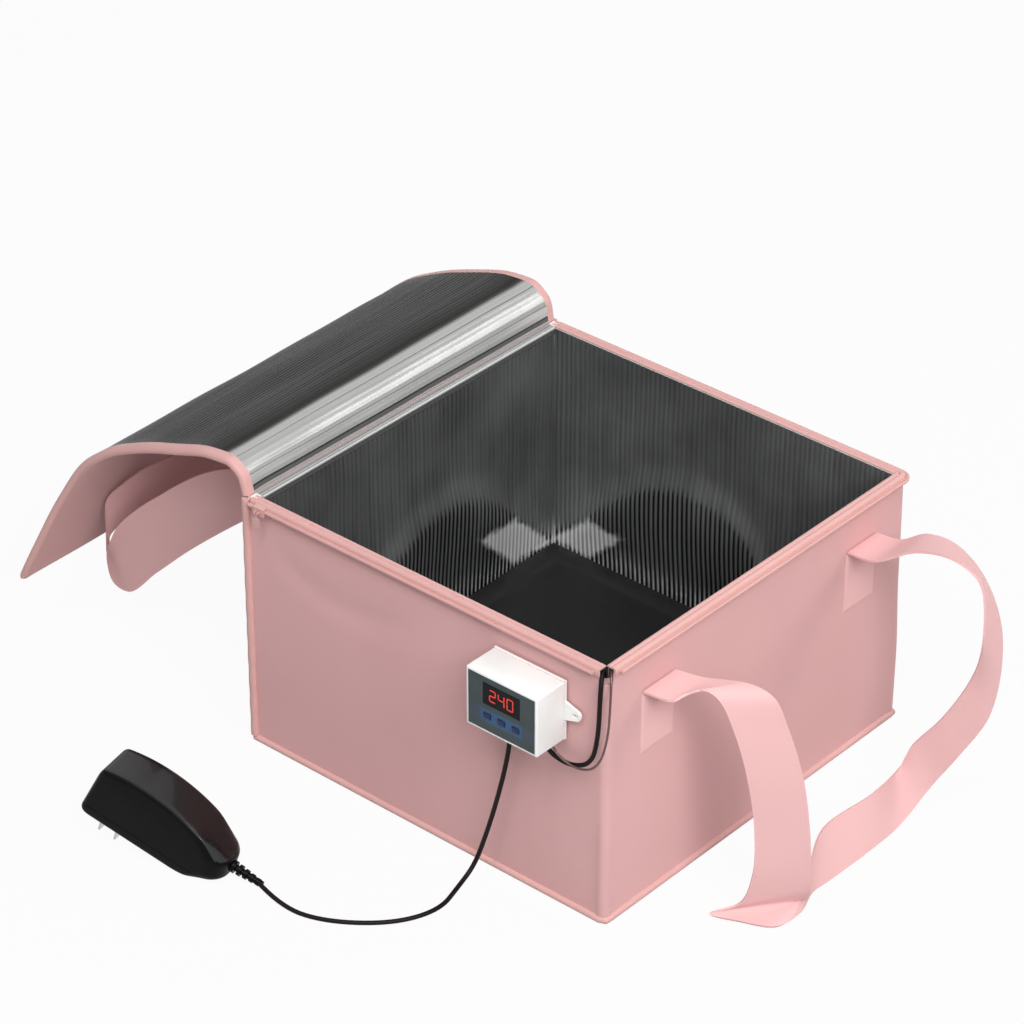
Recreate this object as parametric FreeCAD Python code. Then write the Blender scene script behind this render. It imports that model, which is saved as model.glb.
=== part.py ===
import FreeCAD, Part
import math
import os
from FreeCAD import Placement, Rotation, Vector

# Soft insulated proofing box: a foil lined fabric box with a draped lid, a heating pad,
# a thermostat hung on its front wall and a wall adapter on a short cord.
# Millimetres. The origin is the middle of the base on the floor, +Z is up, +X runs from the
# hinge of the lid to its free side, and +Y from the thermostat's wall to the back.

# Box
BOX_WIDTH = 315.0
BOX_DEPTH = 315.0
BOX_HEIGHT = 200.0
CORNER_RADIUS = 9.0
COVER = 1.2
FOAM = 5.0
BASE_FOAM = 6.0

# Ribbed foil lining
FOIL = 0.4
RIB_HEIGHT = 0.8
RIB_PITCH = 4.3
LINING_DROP = 1.6

# Binding tape on the rim, piping on the base and on the upright seams
BINDING = 1.2
BINDING_SKIRT = 7.0
PIPING_PROUD = 1.4
PIPING_HEIGHT = 4.5
PIPING_LIFT = 0.5
SEAM_BEAD_RADIUS = 3.0
SEAM_BEAD_INSET = -0.8

# Notch for the two wires in the corner of the rim
NOTCH_WIDTH = 13.0
NOTCH_DEPTH = 11.0

# Lid, drawn as it drapes over the hinge wall, from the hinge to the free edge
LID_THICKNESS = 6.0
LID_EDGE = 5.0
LID_LIP = 14.0
LID_LENGTHS = (17.0, 18.0, 30.0, 56.0, 42.0, 44.0)
LID_ANGLES = (80.0, 38.0, -5.0, -20.0, -27.0, -40.0, -60.0)
HINGE_SETBACK = 1.5
FOLD_GAP = 0.3

# Zip along the rim, its slider and its pull
ZIP_DROP = 3.2
ZIP_WEB = 0.8
ZIP_STANDOFF = 1.6
COIL_HEIGHT = 2.6
COIL_DEPTH = 1.4
ZIP_END = 4.0
SLIDE_CLEARANCE = 0.3
SLIDER_LENGTH = 9.0
SLIDER_HEIGHT = 6.0
SLIDER_FACE = 1.4
SLIDER_START = 4.0
BAIL_RADIUS = 0.6
BAIL_OFFSET = 1.7
BAIL_SPAN = 3.6
PULL_LENGTH = 11.0
PULL_WIDTH = 5.0
PULL_THICKNESS = 1.2

# Carry straps
STRAP_THICKNESS = 1.8
STRAP_HEIGHT = 168.0
STRAP_STANDOFF = 1.5
TAIL_THICKNESS = 1.8
TAIL_LENGTH = 48.0
TAIL_INNER = 91.0
TAIL_WIDTH = 33.0

# Edge points of the two straps, measured out from their wall, as they hang and lie
RIGHT_LOOP = (
    ((22, -120, 168.5), (22, -87, 169)), ((32, -104, 173), (54, -79, 174)),
    ((44, -100, 169), (70, -76, 170)), ((54, -96, 147), (80, -72, 147)),
    ((63, -92, 112), (90, -68, 112)), ((68, -89, 71), (95, -65, 71)),
    ((68.5, -90, 35), (95.5, -63, 41.5)), ((61, -94, 10.6), (94.5, -61, 21.5)),
    ((47.5, -107, 3), (91.5, -59, 12.3)), ((66.5, -98.5, 1.5), (89.7, -57, 9.4)),
    ((87, -88, 1.5), (87.8, -54, 10)), ((90, -66, 1.5), (84, -47, 13.8)),
    ((83, -44, 1.5), (79, -40, 23)), ((83.5, -26, 1.5), (70, -17, 32)),
    ((84, 24, 1.5), (71, 38, 32)), ((82, 58, 2), (68, 70, 33)),
    ((85, 84, 18), (74, 76, 52)), ((98, 97, 44), (90, 86, 77)),
    ((112, 109, 77), (104, 95, 109)), ((113, 117, 120), (114, 92, 145)),
    ((104, 122, 150), (107, 99, 177)), ((88, 125, 171), (98, 99, 189)),
    ((66, 126, 184), (78, 98, 194)), ((42, 126, 183), (52, 96, 188)),
    ((22, 123, 171.5), (25, 90, 172)))
LEFT_LOOP = (
    ((20, -121, 161), (20, -95, 180)), ((52, -113, 139), (66, -109, 170)),
    ((109, -115, 91), (131, -113, 119)), ((145, -116, 56), (167, -114, 83)),
    ((175, -113, 24), (187, -111, 60)), ((192, -109, 24), (196, -106, 60)),
    ((199, -106, 40), (197, -106, 72)), ((193.5, -106, 63), (193.5, -108, 94)),
    ((184.5, -97, 79), (185, -101, 109)), ((173.5, -82, 92), (174, -87, 122)),
    ((151.5, -30, 104), (152, -35, 135)), ((102, 40, 129), (98, 36, 162)),
    ((46, 96, 148), (43, 86, 180)), ((20, 121, 161), (20, 95, 180)))

# Box that the straps, cords, thermostat and adapter were laid out on; their places stretch with it
LAYOUT_WIDTH = 315.0
LAYOUT_DEPTH = 315.0
LAYOUT_HEIGHT = 200.0

# Heating pad
PAD_MARGIN = 1.6
PAD_HEM = 14.0
PAD_HEM_HEIGHT = 4.5
PAD_HEIGHT = 10.4
PAD_SLOPE = 3.0
HEATER_MARGIN = 22.0
HEATER_THICKNESS = 1.6
HEATER_LIFT = 4.0
GLAND_LENGTH = 14.0
GLAND_WIDTH = 8.0
GLAND_HEIGHT = 5.0
GLAND_INSET = 30.5
GLAND_LEAD = 11.0

# Thermostat
CONTROL_ACROSS = 95.5
CONTROL_UP = 158.0
CONTROL_WIDTH = 60.0
CONTROL_HEIGHT = 45.0
CONTROL_DEPTH = 27.0
CONTROL_WALL = 1.8
BACK_PLATE = 2.0
GRIP_PAD = 2.0
GRIP_WIDTH = 44.0
GRIP_HEIGHT = 32.0
EAR_LENGTH = 13.0
EAR_ROOT = 14.0
EAR_TIP = 4.2
EAR_SLOT = 2.0
EAR_SLOT_LENGTH = 4.0
PANEL = 1.5
PANEL_CLEARANCE = 0.15
LEDGE = 1.0
WINDOW_WIDTH = 31.0
WINDOW_HEIGHT = 16.5
WINDOW_RISE = 8.0
WINDOW_THICKNESS = 1.2
BUTTON_PITCH = 12.0
BUTTON_DROP = 9.0
BUTTON_WIDTH = 6.0
BUTTON_HEIGHT = 4.0
BUTTON_PROUD = 0.9
BUTTON_CLEARANCE = 0.25
BUTTON_FLANGE = 0.8
BUTTON_STEM = 1.5
BUTTON_TRAVEL = 0.4
BOARD = 1.6
BOARD_SETBACK = 9.0
BOARD_CLEARANCE = 0.3
RELAY = (19.0, 13.0, 14.0)
RELAY_SHIFT = (0.0, 2.0)

# Cords, thermostat to adapter, pad to thermostat and probe to thermostat
CORD_DIAMETER = 3.2
PROBE_DIAMETER = 1.6
CORD_HOLE_CLEARANCE = 0.5
ARC_SHARE = 0.45
POWER_ROUTE = (
    (86, -168, 140), (86, -168, 126), (82.5, -168.7, 100), (74, -169.3, 64), (64.5, -170, 31),
    (59.5, -175, 9), (60.5, -192, 1.8), (68, -219, 1.8), (54, -250, 1.8), (20, -277, 1.8),
    (-13, -285, 1.8))
LEAD_ROUTE = (
    (142.3, -142.3, 31), (143.8, -143.6, 58), (143.2, -143.8, 106), (143.8, -143.4, 153),
    (143.9, -144.3, 178), (146.6, -148.4, 195.2), (152.6, -157.6, 195.2), (155.3, -162.3, 180),
    (155, -163, 154), (150, -162.8, 129), (134, -163.5, 119.5), (119.5, -166.4, 123.5),
    (115.2, -168, 131.5), (115, -168, 140))
PROBE_ROUTE = (
    (9, 124, 19.6), (-9, 113, 19.6), (-16, 92, 19.6), (-4, 58, 19.6), (28, 10, 19.6),
    (62, -36, 19.6), (98, -82, 19.6), (122, -110, 19.6), (139, -129.5, 20.5), (145.6, -138.5, 33),
    (146, -141, 62), (145.7, -140.6, 112), (146.3, -141.2, 158), (146.8, -142, 181),
    (150.2, -145.4, 195.6), (157.2, -153.4, 195.6), (161.6, -159.4, 181), (163, -163, 154),
    (158, -166.4, 131), (143, -167.4, 122.5), (127.5, -168.2, 126), (120.8, -169, 133.5),
    (120.5, -169, 140))
PROBE_TIP_RADIUS = 2.4
PROBE_TIP_LENGTH = 24.0
PROBE_TIP_NOSE = 2.0

# Wall adapter, in its own frame: length, height, thickness
ADAPTER_THICKNESS = 32.0
ADAPTER_LENGTH = 112.0
ADAPTER_LEFT_LEAN = 8.0
ADAPTER_LEFT_HEIGHT = 45.0
ADAPTER_CROWN = 55.0
ADAPTER_NOSE_HEIGHT = 29.0
ADAPTER_NOSE_LIFT = 11.0
ADAPTER_FLAT = 84.0
ADAPTER_NOSE_ROUND = 13.0
ADAPTER_SEAM = 9.0
PLUG_START = 9.0
PLUG_LENGTH = 23.0
PLUG_WIDTH = 22.0
PLUG_HEIGHT = 2.5
BLADE_PITCH = 12.7
BLADE_LENGTH = 15.9
BLADE_WIDTH = 6.3
BLADE_THICKNESS = 1.5
RELIEF_LENGTH = 24.0
RELIEF_RADIUS = 4.4
RELIEF_TIP = 2.6
RELIEF_RIBS = 5
RELIEF_RISE = 20.0
RELIEF_GRIP = 4.0
ADAPTER_YAW = 12.0
ADAPTER_PITCH = 18.0
ADAPTER_CORNER = (-88.0, -304.5, 0.6)

# Values worked out from those above
HALF_W = BOX_WIDTH / 2
HALF_D = BOX_DEPTH / 2
LINING = FOIL + RIB_HEIGHT
WALL = COVER + FOAM + LINING
FLOOR = COVER + BASE_FOAM + FOIL
WALL_TOP = BOX_HEIGHT - BINDING
LINING_TOP = BOX_HEIGHT - LINING_DROP
LID_HALF = HALF_D + BINDING
HINGE_X = -HALF_W + HINGE_SETBACK
HINGE_Z = BOX_HEIGHT + FOLD_GAP
ZIP_Z = BOX_HEIGHT - ZIP_DROP
ZIP_LEFT = -HALF_W + COVER + FOAM
PAD_TOP = FLOOR + PAD_HEIGHT


def stretch(place):
    """Point of the layout moved to the real box: heights stretch only above the pad."""
    x, y, z = place
    if z > PAD_TOP:
        z = PAD_TOP + (z - PAD_TOP) * (BOX_HEIGHT - PAD_TOP) / (LAYOUT_HEIGHT - PAD_TOP)
    return Vector(x * BOX_WIDTH / LAYOUT_WIDTH, y * BOX_DEPTH / LAYOUT_DEPTH, z)


CONTROL_X = stretch((CONTROL_ACROSS, 0, 0)).x
CONTROL_Z = stretch((0, 0, CONTROL_UP)).z
STRAP_Z = stretch((0, 0, STRAP_HEIGHT)).z


def save(name, shape):
    """Write one piece, checked to be a sound solid, to its own file."""
    if not shape.isValid() or shape.Volume <= 0:
        raise ValueError("unsound piece " + name)
    shape.exportStep("parts/" + name + ".step")
    return shape


def block(x, y, z):
    """Box between two values on each axis."""
    return Part.makeBox(x[1] - x[0], y[1] - y[0], z[1] - z[0], Vector(x[0], y[0], z[0]))


def prism(points, along):
    """Polygon pushed along a vector."""
    return Part.Face(Part.makePolygon(points + [points[0]])).extrude(along)


def footprint(inset, left):
    """Plan of the box, inset from its outside, with round corners on its free side."""
    right, half, radius = HALF_W - inset, HALF_D - inset, CORNER_RADIUS - inset
    bow = radius * (1 - math.sqrt(0.5))
    front = [Vector(left, -half), Vector(right - radius, -half), Vector(right - bow, bow - half),
             Vector(right, radius - half)]
    back = [Vector(p.x, -p.y) for p in reversed(front)]
    edges = [Part.LineSegment(front[0], front[1]), Part.Arc(front[1], front[2], front[3]),
             Part.LineSegment(front[3], back[0]), Part.Arc(back[0], back[1], back[2]),
             Part.LineSegment(back[2], back[3]), Part.LineSegment(back[3], front[0])]
    return Part.Face(Part.Wire([edge.toShape() for edge in edges]))


def slab(inset, left, z):
    """Footprint between two heights."""
    face = footprint(inset, left)
    face.translate(Vector(0, 0, z[0]))
    return face.extrude(Vector(0, 0, z[1] - z[0]))


def wrap(outer, inner, left, z):
    """Skin round the front, free side and back, open at the hinge wall."""
    return slab(outer, left, z).cut(slab(inner, left - WALL, z))


def wire_notch():
    """Cutter for the gap that the wires pass through, on the diagonal of one corner."""
    reach = 2 * (WALL + CORNER_RADIUS)
    cutter = block((-reach, reach), (-NOTCH_WIDTH / 2, NOTCH_WIDTH / 2),
                   (BOX_HEIGHT - NOTCH_DEPTH, BOX_HEIGHT + NOTCH_DEPTH))
    cutter.rotate(Vector(), Vector(0, 0, 1), -45)
    cutter.translate(Vector(HALF_W - CORNER_RADIUS, CORNER_RADIUS - HALF_D, 0))
    return cutter


def covers():
    """Woven skins: the wrap, the hinge wall, and the base."""
    left = -HALF_W + COVER
    save("outer_wrap", wrap(0, COVER, left, (COVER, WALL_TOP)).cut(wire_notch()))
    save("left_wall_cover", block((-HALF_W, left), (-HALF_D, HALF_D), (COVER, BOX_HEIGHT)))
    save("base_cover", slab(0, -HALF_W, (0, COVER)))


def corner_foam(side):
    """Foam bent round one upright corner of the free side."""
    outer, inner = CORNER_RADIUS - COVER, CORNER_RADIUS - COVER - FOAM
    height = WALL_TOP - COVER - BASE_FOAM
    centre = Vector(HALF_W - CORNER_RADIUS, side * (HALF_D - CORNER_RADIUS), COVER + BASE_FOAM)
    tube = Part.makeCylinder(outer, height, centre).cut(Part.makeCylinder(inner, height, centre))
    corner = block((0, outer), (min(0, side * outer), max(0, side * outer)), (0, height))
    corner.translate(centre)
    return tube.common(corner)


def foams():
    """Boards of foam behind each wall and under the floor."""
    left = -HALF_W + COVER + FOAM
    right = HALF_W - CORNER_RADIUS
    z = (COVER + BASE_FOAM, WALL_TOP)
    outside, inside = HALF_D - COVER, HALF_D - COVER - FOAM
    save("base_foam", slab(COVER, -HALF_W + COVER, (COVER, COVER + BASE_FOAM)))
    save("left_foam", block((-HALF_W + COVER, left), (-outside, outside), (z[0], BOX_HEIGHT)))
    save("front_foam", block((left, right), (-outside, -inside), z).cut(wire_notch()))
    save("back_foam", block((left, right), (inside, outside), z))
    free = block((HALF_W - COVER - FOAM, HALF_W - COVER), (CORNER_RADIUS - HALF_D, HALF_D - CORNER_RADIUS), z)
    save("right_foam", free.cut(wire_notch()))
    save("corner_foam_front", corner_foam(-1).cut(wire_notch()))
    save("corner_foam_back", corner_foam(1))


def ribs(length):
    """Crest line of a ribbed sheet, as pairs of distance along it and depth below the crest."""
    count = max(1, int(length / RIB_PITCH))
    pitch = length / count
    line = []
    for index in range(count):
        line += [(index * pitch, RIB_HEIGHT), ((index + 0.5) * pitch, 0)]
    return line + [(length, RIB_HEIGHT)]


def ribbed_wall(start, along, inward, height):
    """Upright sheet of ribbed foil on the foam, from a start point along one wall."""
    length = along.Length
    way = Vector(along).normalize()
    points = [start, start + along]
    for distance, depth in reversed(ribs(length)):
        points.append(start + way * distance + inward * (LINING - depth))
    return prism(points, Vector(0, 0, height))


def corner_foil(side, height):
    """Plain foil round one upright inner corner."""
    outer = CORNER_RADIUS - COVER - FOAM
    centre = Vector(HALF_W - CORNER_RADIUS, side * (HALF_D - CORNER_RADIUS), FLOOR)
    tube = Part.makeCylinder(outer, height, centre).cut(Part.makeCylinder(outer - FOIL, height, centre))
    corner = block((0, outer), (min(0, side * outer), max(0, side * outer)), (0, height))
    corner.translate(centre)
    return tube.common(corner)


def linings():
    """Ribbed foil on the four walls, and plain foil on the floor."""
    height = LINING_TOP - FLOOR
    left = -HALF_W + COVER + FOAM
    right = HALF_W - CORNER_RADIUS
    depth = HALF_D - COVER - FOAM
    side = HALF_D - CORNER_RADIUS
    inner = left + LINING
    front = ribbed_wall(Vector(inner, -depth, FLOOR), Vector(right - inner, 0, 0), Vector(0, 1, 0), height)
    back = ribbed_wall(Vector(inner, depth, FLOOR), Vector(right - inner, 0, 0), Vector(0, -1, 0), height)
    free = ribbed_wall(Vector(HALF_W - COVER - FOAM, -side, FLOOR), Vector(0, 2 * side, 0), Vector(-1, 0, 0),
                       height)
    free = free.fuse([corner_foil(-1, height), corner_foil(1, height)]).removeSplitter()
    save("liner_front", front.cut(wire_notch()))
    save("liner_back", back)
    save("liner_right", free.cut(wire_notch()))
    hinge = ribbed_wall(Vector(left, -depth, FLOOR), Vector(0, 2 * depth, 0), Vector(1, 0, 0), height)
    save("liner_left", hinge)
    save("liner_base", slab(COVER + FOAM, left, (FLOOR - FOIL, FLOOR)))


def rim_binding():
    """Tape folded over the top of the walls, with a skirt outside."""
    top = wrap(-BINDING, COVER + FOAM, ZIP_LEFT, (WALL_TOP, BOX_HEIGHT))
    skirt = wrap(-BINDING, 0, ZIP_LEFT, (BOX_HEIGHT - BINDING_SKIRT, BOX_HEIGHT))
    tape = top.fuse(skirt).removeSplitter()
    crown = [edge for edge in tape.Edges if on_outer_rim(edge)]
    return tape.makeFillet(BINDING * 0.8, crown).cut(wire_notch())


def on_outer_rim(edge):
    """True for the top edges on the outside of the binding."""
    box = edge.BoundBox
    level = box.ZMin > BOX_HEIGHT - 0.01
    outside = box.XMax > HALF_W or box.YMax > HALF_D or box.YMin < -HALF_D
    return level and outside and box.XMax > ZIP_LEFT + 0.01 and box.DiagonalLength > WALL + BINDING + 0.01


def seam_bead(side):
    """Bound seam on one upright edge of the hinge wall."""
    bottom = PIPING_LIFT + PIPING_HEIGHT
    centre = Vector(SEAM_BEAD_INSET - HALF_W, side * (HALF_D - SEAM_BEAD_INSET), bottom)
    bead = Part.makeCylinder(SEAM_BEAD_RADIUS, BOX_HEIGHT - bottom, centre)
    inside = block((-HALF_W, HALF_W), (-HALF_D, HALF_D), (0, 2 * BOX_HEIGHT))
    return bead.cut(inside)


def trims():
    """Binding and piping that finish the edges."""
    save("rim_binding", rim_binding())
    save("side_piping", Part.makeCompound([seam_bead(-1), seam_bead(1)]))
    z = (PIPING_LIFT, PIPING_LIFT + PIPING_HEIGHT)
    ring = slab(-PIPING_PROUD, -HALF_W - PIPING_PROUD, z).cut(slab(0, -HALF_W, z))
    save("base_piping", ring)


def zip_strip(start, stop, level, depth, height):
    """One layer of the zip, from one depth outside the binding to the next."""
    z = (level - height / 2, level + height / 2)
    ring = wrap(-depth[1], -depth[0], ZIP_LEFT, z)
    return ring.common(block(start, stop, (0, 2 * BOX_HEIGHT)))


def rim_zip():
    """Zip tape and coil on both sides of the wire notch."""
    reach = 2 * BOX_WIDTH
    turn = CORNER_RADIUS + ZIP_END
    web = (BINDING, BINDING + ZIP_STANDOFF)
    coil = (web[1], web[1] + COIL_DEPTH)
    sides = (((ZIP_LEFT, HALF_W - turn), (-reach, 0)), ((0, reach), (turn - HALF_D, 0)),
             ((ZIP_LEFT, reach), (0, reach)))
    runs = []
    for x, y in sides:
        strip = zip_strip(x, y, ZIP_Z, web, ZIP_WEB)
        runs.append(strip.fuse(zip_strip(x, y, ZIP_Z, coil, COIL_HEIGHT)).removeSplitter())
    back = runs[1].fuse(runs[2]).removeSplitter()
    return Part.makeCompound([runs[0], back])


def zip_slider():
    """Slider that holds the coil, with a bail for its pull."""
    gap = SLIDE_CLEARANCE
    near = -HALF_D - BINDING - gap
    coil = -HALF_D - BINDING - ZIP_STANDOFF - COIL_DEPTH - gap
    face = coil - SLIDER_FACE
    x = (ZIP_LEFT + SLIDER_START, ZIP_LEFT + SLIDER_START + SLIDER_LENGTH)
    body = block(x, (face, near), (ZIP_Z - SLIDER_HEIGHT / 2, ZIP_Z + SLIDER_HEIGHT / 2))
    half = ZIP_WEB / 2 + gap
    body = body.cut(block(x, (coil, near), (ZIP_Z - half, ZIP_Z + half)))
    half = COIL_HEIGHT / 2 + gap
    body = body.cut(block(x, (coil, coil + COIL_DEPTH + 2 * gap), (ZIP_Z - half, ZIP_Z + half)))
    middle = (x[0] + x[1]) / 2
    bar = Vector(middle - BAIL_SPAN / 2, face - BAIL_OFFSET, ZIP_Z)
    bail = Part.makeCylinder(BAIL_RADIUS, BAIL_SPAN, bar, Vector(1, 0, 0))
    for end in (-1, 1):
        post = middle + end * (BAIL_SPAN / 2 - BAIL_RADIUS)
        bail = bail.fuse(block((post - BAIL_RADIUS, post + BAIL_RADIUS),
                               (face - BAIL_OFFSET - BAIL_RADIUS, face),
                               (ZIP_Z - BAIL_RADIUS, ZIP_Z + BAIL_RADIUS)))
    return body.fuse(bail).removeSplitter()


def zip_pull():
    """Tab that hangs on the bail of the slider."""
    gap = SLIDE_CLEARANCE
    face = -HALF_D - BINDING - ZIP_STANDOFF - COIL_DEPTH - gap - SLIDER_FACE
    y = face - BAIL_OFFSET
    middle = ZIP_LEFT + SLIDER_START + SLIDER_LENGTH / 2
    eye = BAIL_SPAN - 4 * BAIL_RADIUS - 2 * gap
    half = PULL_THICKNESS / 2
    ring = Part.makeCylinder(BAIL_RADIUS + gap + half, eye, Vector(middle - eye / 2, y, ZIP_Z),
                             Vector(1, 0, 0))
    neck = BAIL_RADIUS + gap + SLIDER_HEIGHT / 2
    stem = block((middle - eye / 2, middle + eye / 2), (y - half, y + half), (ZIP_Z - neck, ZIP_Z))
    tab = block((middle - PULL_WIDTH / 2, middle + PULL_WIDTH / 2), (y - half, y + half),
                (ZIP_Z - PULL_LENGTH, ZIP_Z - neck))
    tab = tab.makeFillet(PULL_THICKNESS, [edge for edge in tab.Edges if edge.BoundBox.YLength > half
                                          and edge.BoundBox.ZMax < ZIP_Z - neck - half])
    bore = Part.makeCylinder(BAIL_RADIUS + gap, 2 * PULL_WIDTH, Vector(middle - PULL_WIDTH, y, ZIP_Z),
                             Vector(1, 0, 0))
    return ring.fuse([stem, tab]).removeSplitter().cut(bore)


def closures():
    """Zip, slider and pull."""
    save("rim_zip", rim_zip())
    save("zip_slider", zip_slider())
    save("zip_pull", zip_pull())


def lid_lengths():
    """Length of each lid segment; the last reaches past the free rim by the lip."""
    whole = HALF_W + BINDING + LID_LIP - HINGE_X
    return LID_LENGTHS + (whole - sum(LID_LENGTHS),)


def lid_frames():
    """Start, direction and outward normal of each lid segment, with the folds at its two ends."""
    start = Vector(HINGE_X, 0, HINGE_Z)
    frames = []
    for index, length in enumerate(lid_lengths()):
        angle = math.radians(LID_ANGLES[index])
        way = Vector(-math.cos(angle), 0, math.sin(angle))
        normal = Vector(math.sin(angle), 0, math.cos(angle))
        first = 90 - LID_ANGLES[0] if index == 0 else (LID_ANGLES[index - 1] - LID_ANGLES[index]) / 2
        last = (LID_ANGLES[index] - LID_ANGLES[index + 1]) / 2 if index < len(LID_ANGLES) - 1 else 0
        mitres = math.tan(math.radians(first)), math.tan(math.radians(last))
        frames.append((start, way, normal, length) + mitres)
        start = start + way * length
    return frames


def lid_outline(frame, top, bottom, trim):
    """Four corners of one layer of a segment, mitred for the folds, from one depth to another."""
    start, way, normal, length, first, last = frame
    gap = FOLD_GAP / 2
    corners = []
    for depth, near in ((top, True), (top, False), (bottom, False), (bottom, True)):
        along = depth * first + gap if near else length - depth * last - gap - trim
        corners.append(start + way * along - normal * depth)
    return corners


def lid_layer(frame, top, bottom, y, trim=0.0):
    """One flat layer of a lid segment between two depths under its foil face."""
    points = [p + Vector(0, y[0], 0) for p in lid_outline(frame, top, bottom, trim)]
    return prism(points, Vector(0, y[1] - y[0], 0))


def lid_liner(frame, trim):
    """Foam core of a segment with ribbed foil on its face."""
    start, way, normal, length = frame[:4]
    depth = LID_THICKNESS - COVER
    half = LID_HALF - LID_EDGE
    corners = lid_outline(frame, RIB_HEIGHT, depth, trim)
    face = length - FOLD_GAP - trim - 2 * RIB_HEIGHT
    crest = [start + way * (FOLD_GAP / 2 + RIB_HEIGHT + along) - normal * low for along, low in ribs(face)]
    points = [corners[0]] + crest + corners[1:]
    return prism([p + Vector(0, -half, 0) for p in points], Vector(0, 2 * half, 0))


def lid_cover(frame, trim):
    """Woven back of a segment with the bound edges at its two ends."""
    half = LID_HALF - LID_EDGE
    pieces = [lid_layer(frame, 0, LID_THICKNESS, (side * half, side * LID_HALF))
              for side in (-1, 1)]
    back = lid_layer(frame, LID_THICKNESS - COVER, LID_THICKNESS, (-LID_HALF, LID_HALF))
    if trim:
        start, way, normal, length = frame[:4]
        tip = (start + way * (length - trim), way, normal, trim, 0, 0)
        pieces.append(lid_layer(tip, 0, LID_THICKNESS, (-LID_HALF, LID_HALF)))
    return back.fuse(pieces).removeSplitter()


def lid():
    """Lid of hinged segments that drape in the curve of the open lid and lie flat when closed."""
    frames = lid_frames()
    for index, frame in enumerate(frames, 1):
        trim = LID_EDGE if index == len(frames) else 0.0
        save("lid_cover_%d" % index, lid_cover(frame, trim))
        save("lid_liner_%d" % index, lid_liner(frame, trim))
        pivot = frame[0]
        print("lid fold %d at x %.2f z %.2f" % (index, pivot.x, pivot.z))


def strap_stations(side, loop):
    """Pairs of edge points along one strap, near end first; side is 1 on the free side."""
    root = HALF_W + STRAP_STANDOFF
    start = (Vector(root, -TAIL_INNER - TAIL_WIDTH, STRAP_Z), Vector(root, -TAIL_INNER, STRAP_Z))
    stop = (Vector(root, TAIL_INNER + TAIL_WIDTH, STRAP_Z), Vector(root, TAIL_INNER, STRAP_Z))
    pairs = [start] + [(strap_point(low), strap_point(high)) for low, high in loop] + [stop]
    return [(Vector(side * a.x, a.y, a.z), Vector(side * b.x, b.y, b.z)) for a, b in pairs]


def strap_point(place):
    """Point of a strap, its reach from the wall kept as it is."""
    spot = stretch(place)
    return Vector(HALF_W + place[0], spot.y, spot.z)


def strap_normals(pairs):
    """Direction square to the strap's face at each pair of edge points."""
    normals = []
    for index, (low, high) in enumerate(pairs):
        before, after = pairs[max(0, index - 1)], pairs[min(len(pairs) - 1, index + 1)]
        along = (after[0] + after[1] - before[0] - before[1]).normalize()
        if index in (0, len(pairs) - 1):
            along = Vector(math.copysign(1, along.x), 0, 0)
        normals.append(along.cross(high - low).normalize())
    return normals


def strap_sections(pairs):
    """Four corners of the thin rectangle round each pair of edge points, eased from one to the next."""
    normals = strap_normals(pairs)
    sections = []
    for index, (low, high) in enumerate(pairs):
        across = (high - low).normalize()
        face = normals[index]
        if 0 < index < len(pairs) - 1:
            face = normals[index - 1] + face + normals[index + 1]
        face = (face - across * face.dot(across)).normalize() * (STRAP_THICKNESS / 2)
        sections.append([low + face, high + face, high - face, low - face])
    return sections


def ribbon(sections):
    """Solid strap skinned with flat triangles, both of its faces split along the same diagonals."""
    triangles = []
    for near, far in zip(sections, sections[1:]):
        for index in (0, 1):
            turn = index + 1
            triangles += [(near[index], far[turn], near[turn]), (near[index], far[index], far[turn])]
        for index in (2, 3):
            turn = (index + 1) % 4
            triangles += [(near[index], far[index], near[turn]), (near[turn], far[index], far[turn])]
    for end in (sections[0], sections[-1][::-1]):
        triangles += [(end[0], end[1], end[2]), (end[0], end[2], end[3])]
    faces = [Part.Face(Part.makePolygon([a, b, c, a])) for a, b, c in triangles]
    return Part.makeSolid(Part.makeShell(faces))


def straps():
    """Two carry straps as they lie, and the ends that are sewn to the walls."""
    for side, name, loop in ((1, "right", RIGHT_LOOP), (-1, "left", LEFT_LOOP)):
        save("strap_" + name, ribbon(strap_sections(strap_stations(side, loop))))
        x = sorted((side * HALF_W, side * (HALF_W + TAIL_THICKNESS)))
        top = STRAP_Z - STRAP_THICKNESS / 2 - FOLD_GAP
        z = (top - TAIL_LENGTH, top)
        tails = [block(x, sorted((end * TAIL_INNER, end * (TAIL_INNER + TAIL_WIDTH))), z) for end in (-1, 1)]
        save("strap_tails_" + name, Part.makeCompound(tails))


def pad_halves():
    """Half the width and half the depth of the pad."""
    return HALF_W - WALL - PAD_MARGIN, HALF_D - WALL - PAD_MARGIN


def gland_middle():
    """Middle of the cable gland, on the pad near the corner with the notch."""
    half_x, half_y = pad_halves()
    return Vector(half_x - GLAND_INSET, GLAND_INSET - half_y, PAD_TOP)


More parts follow.
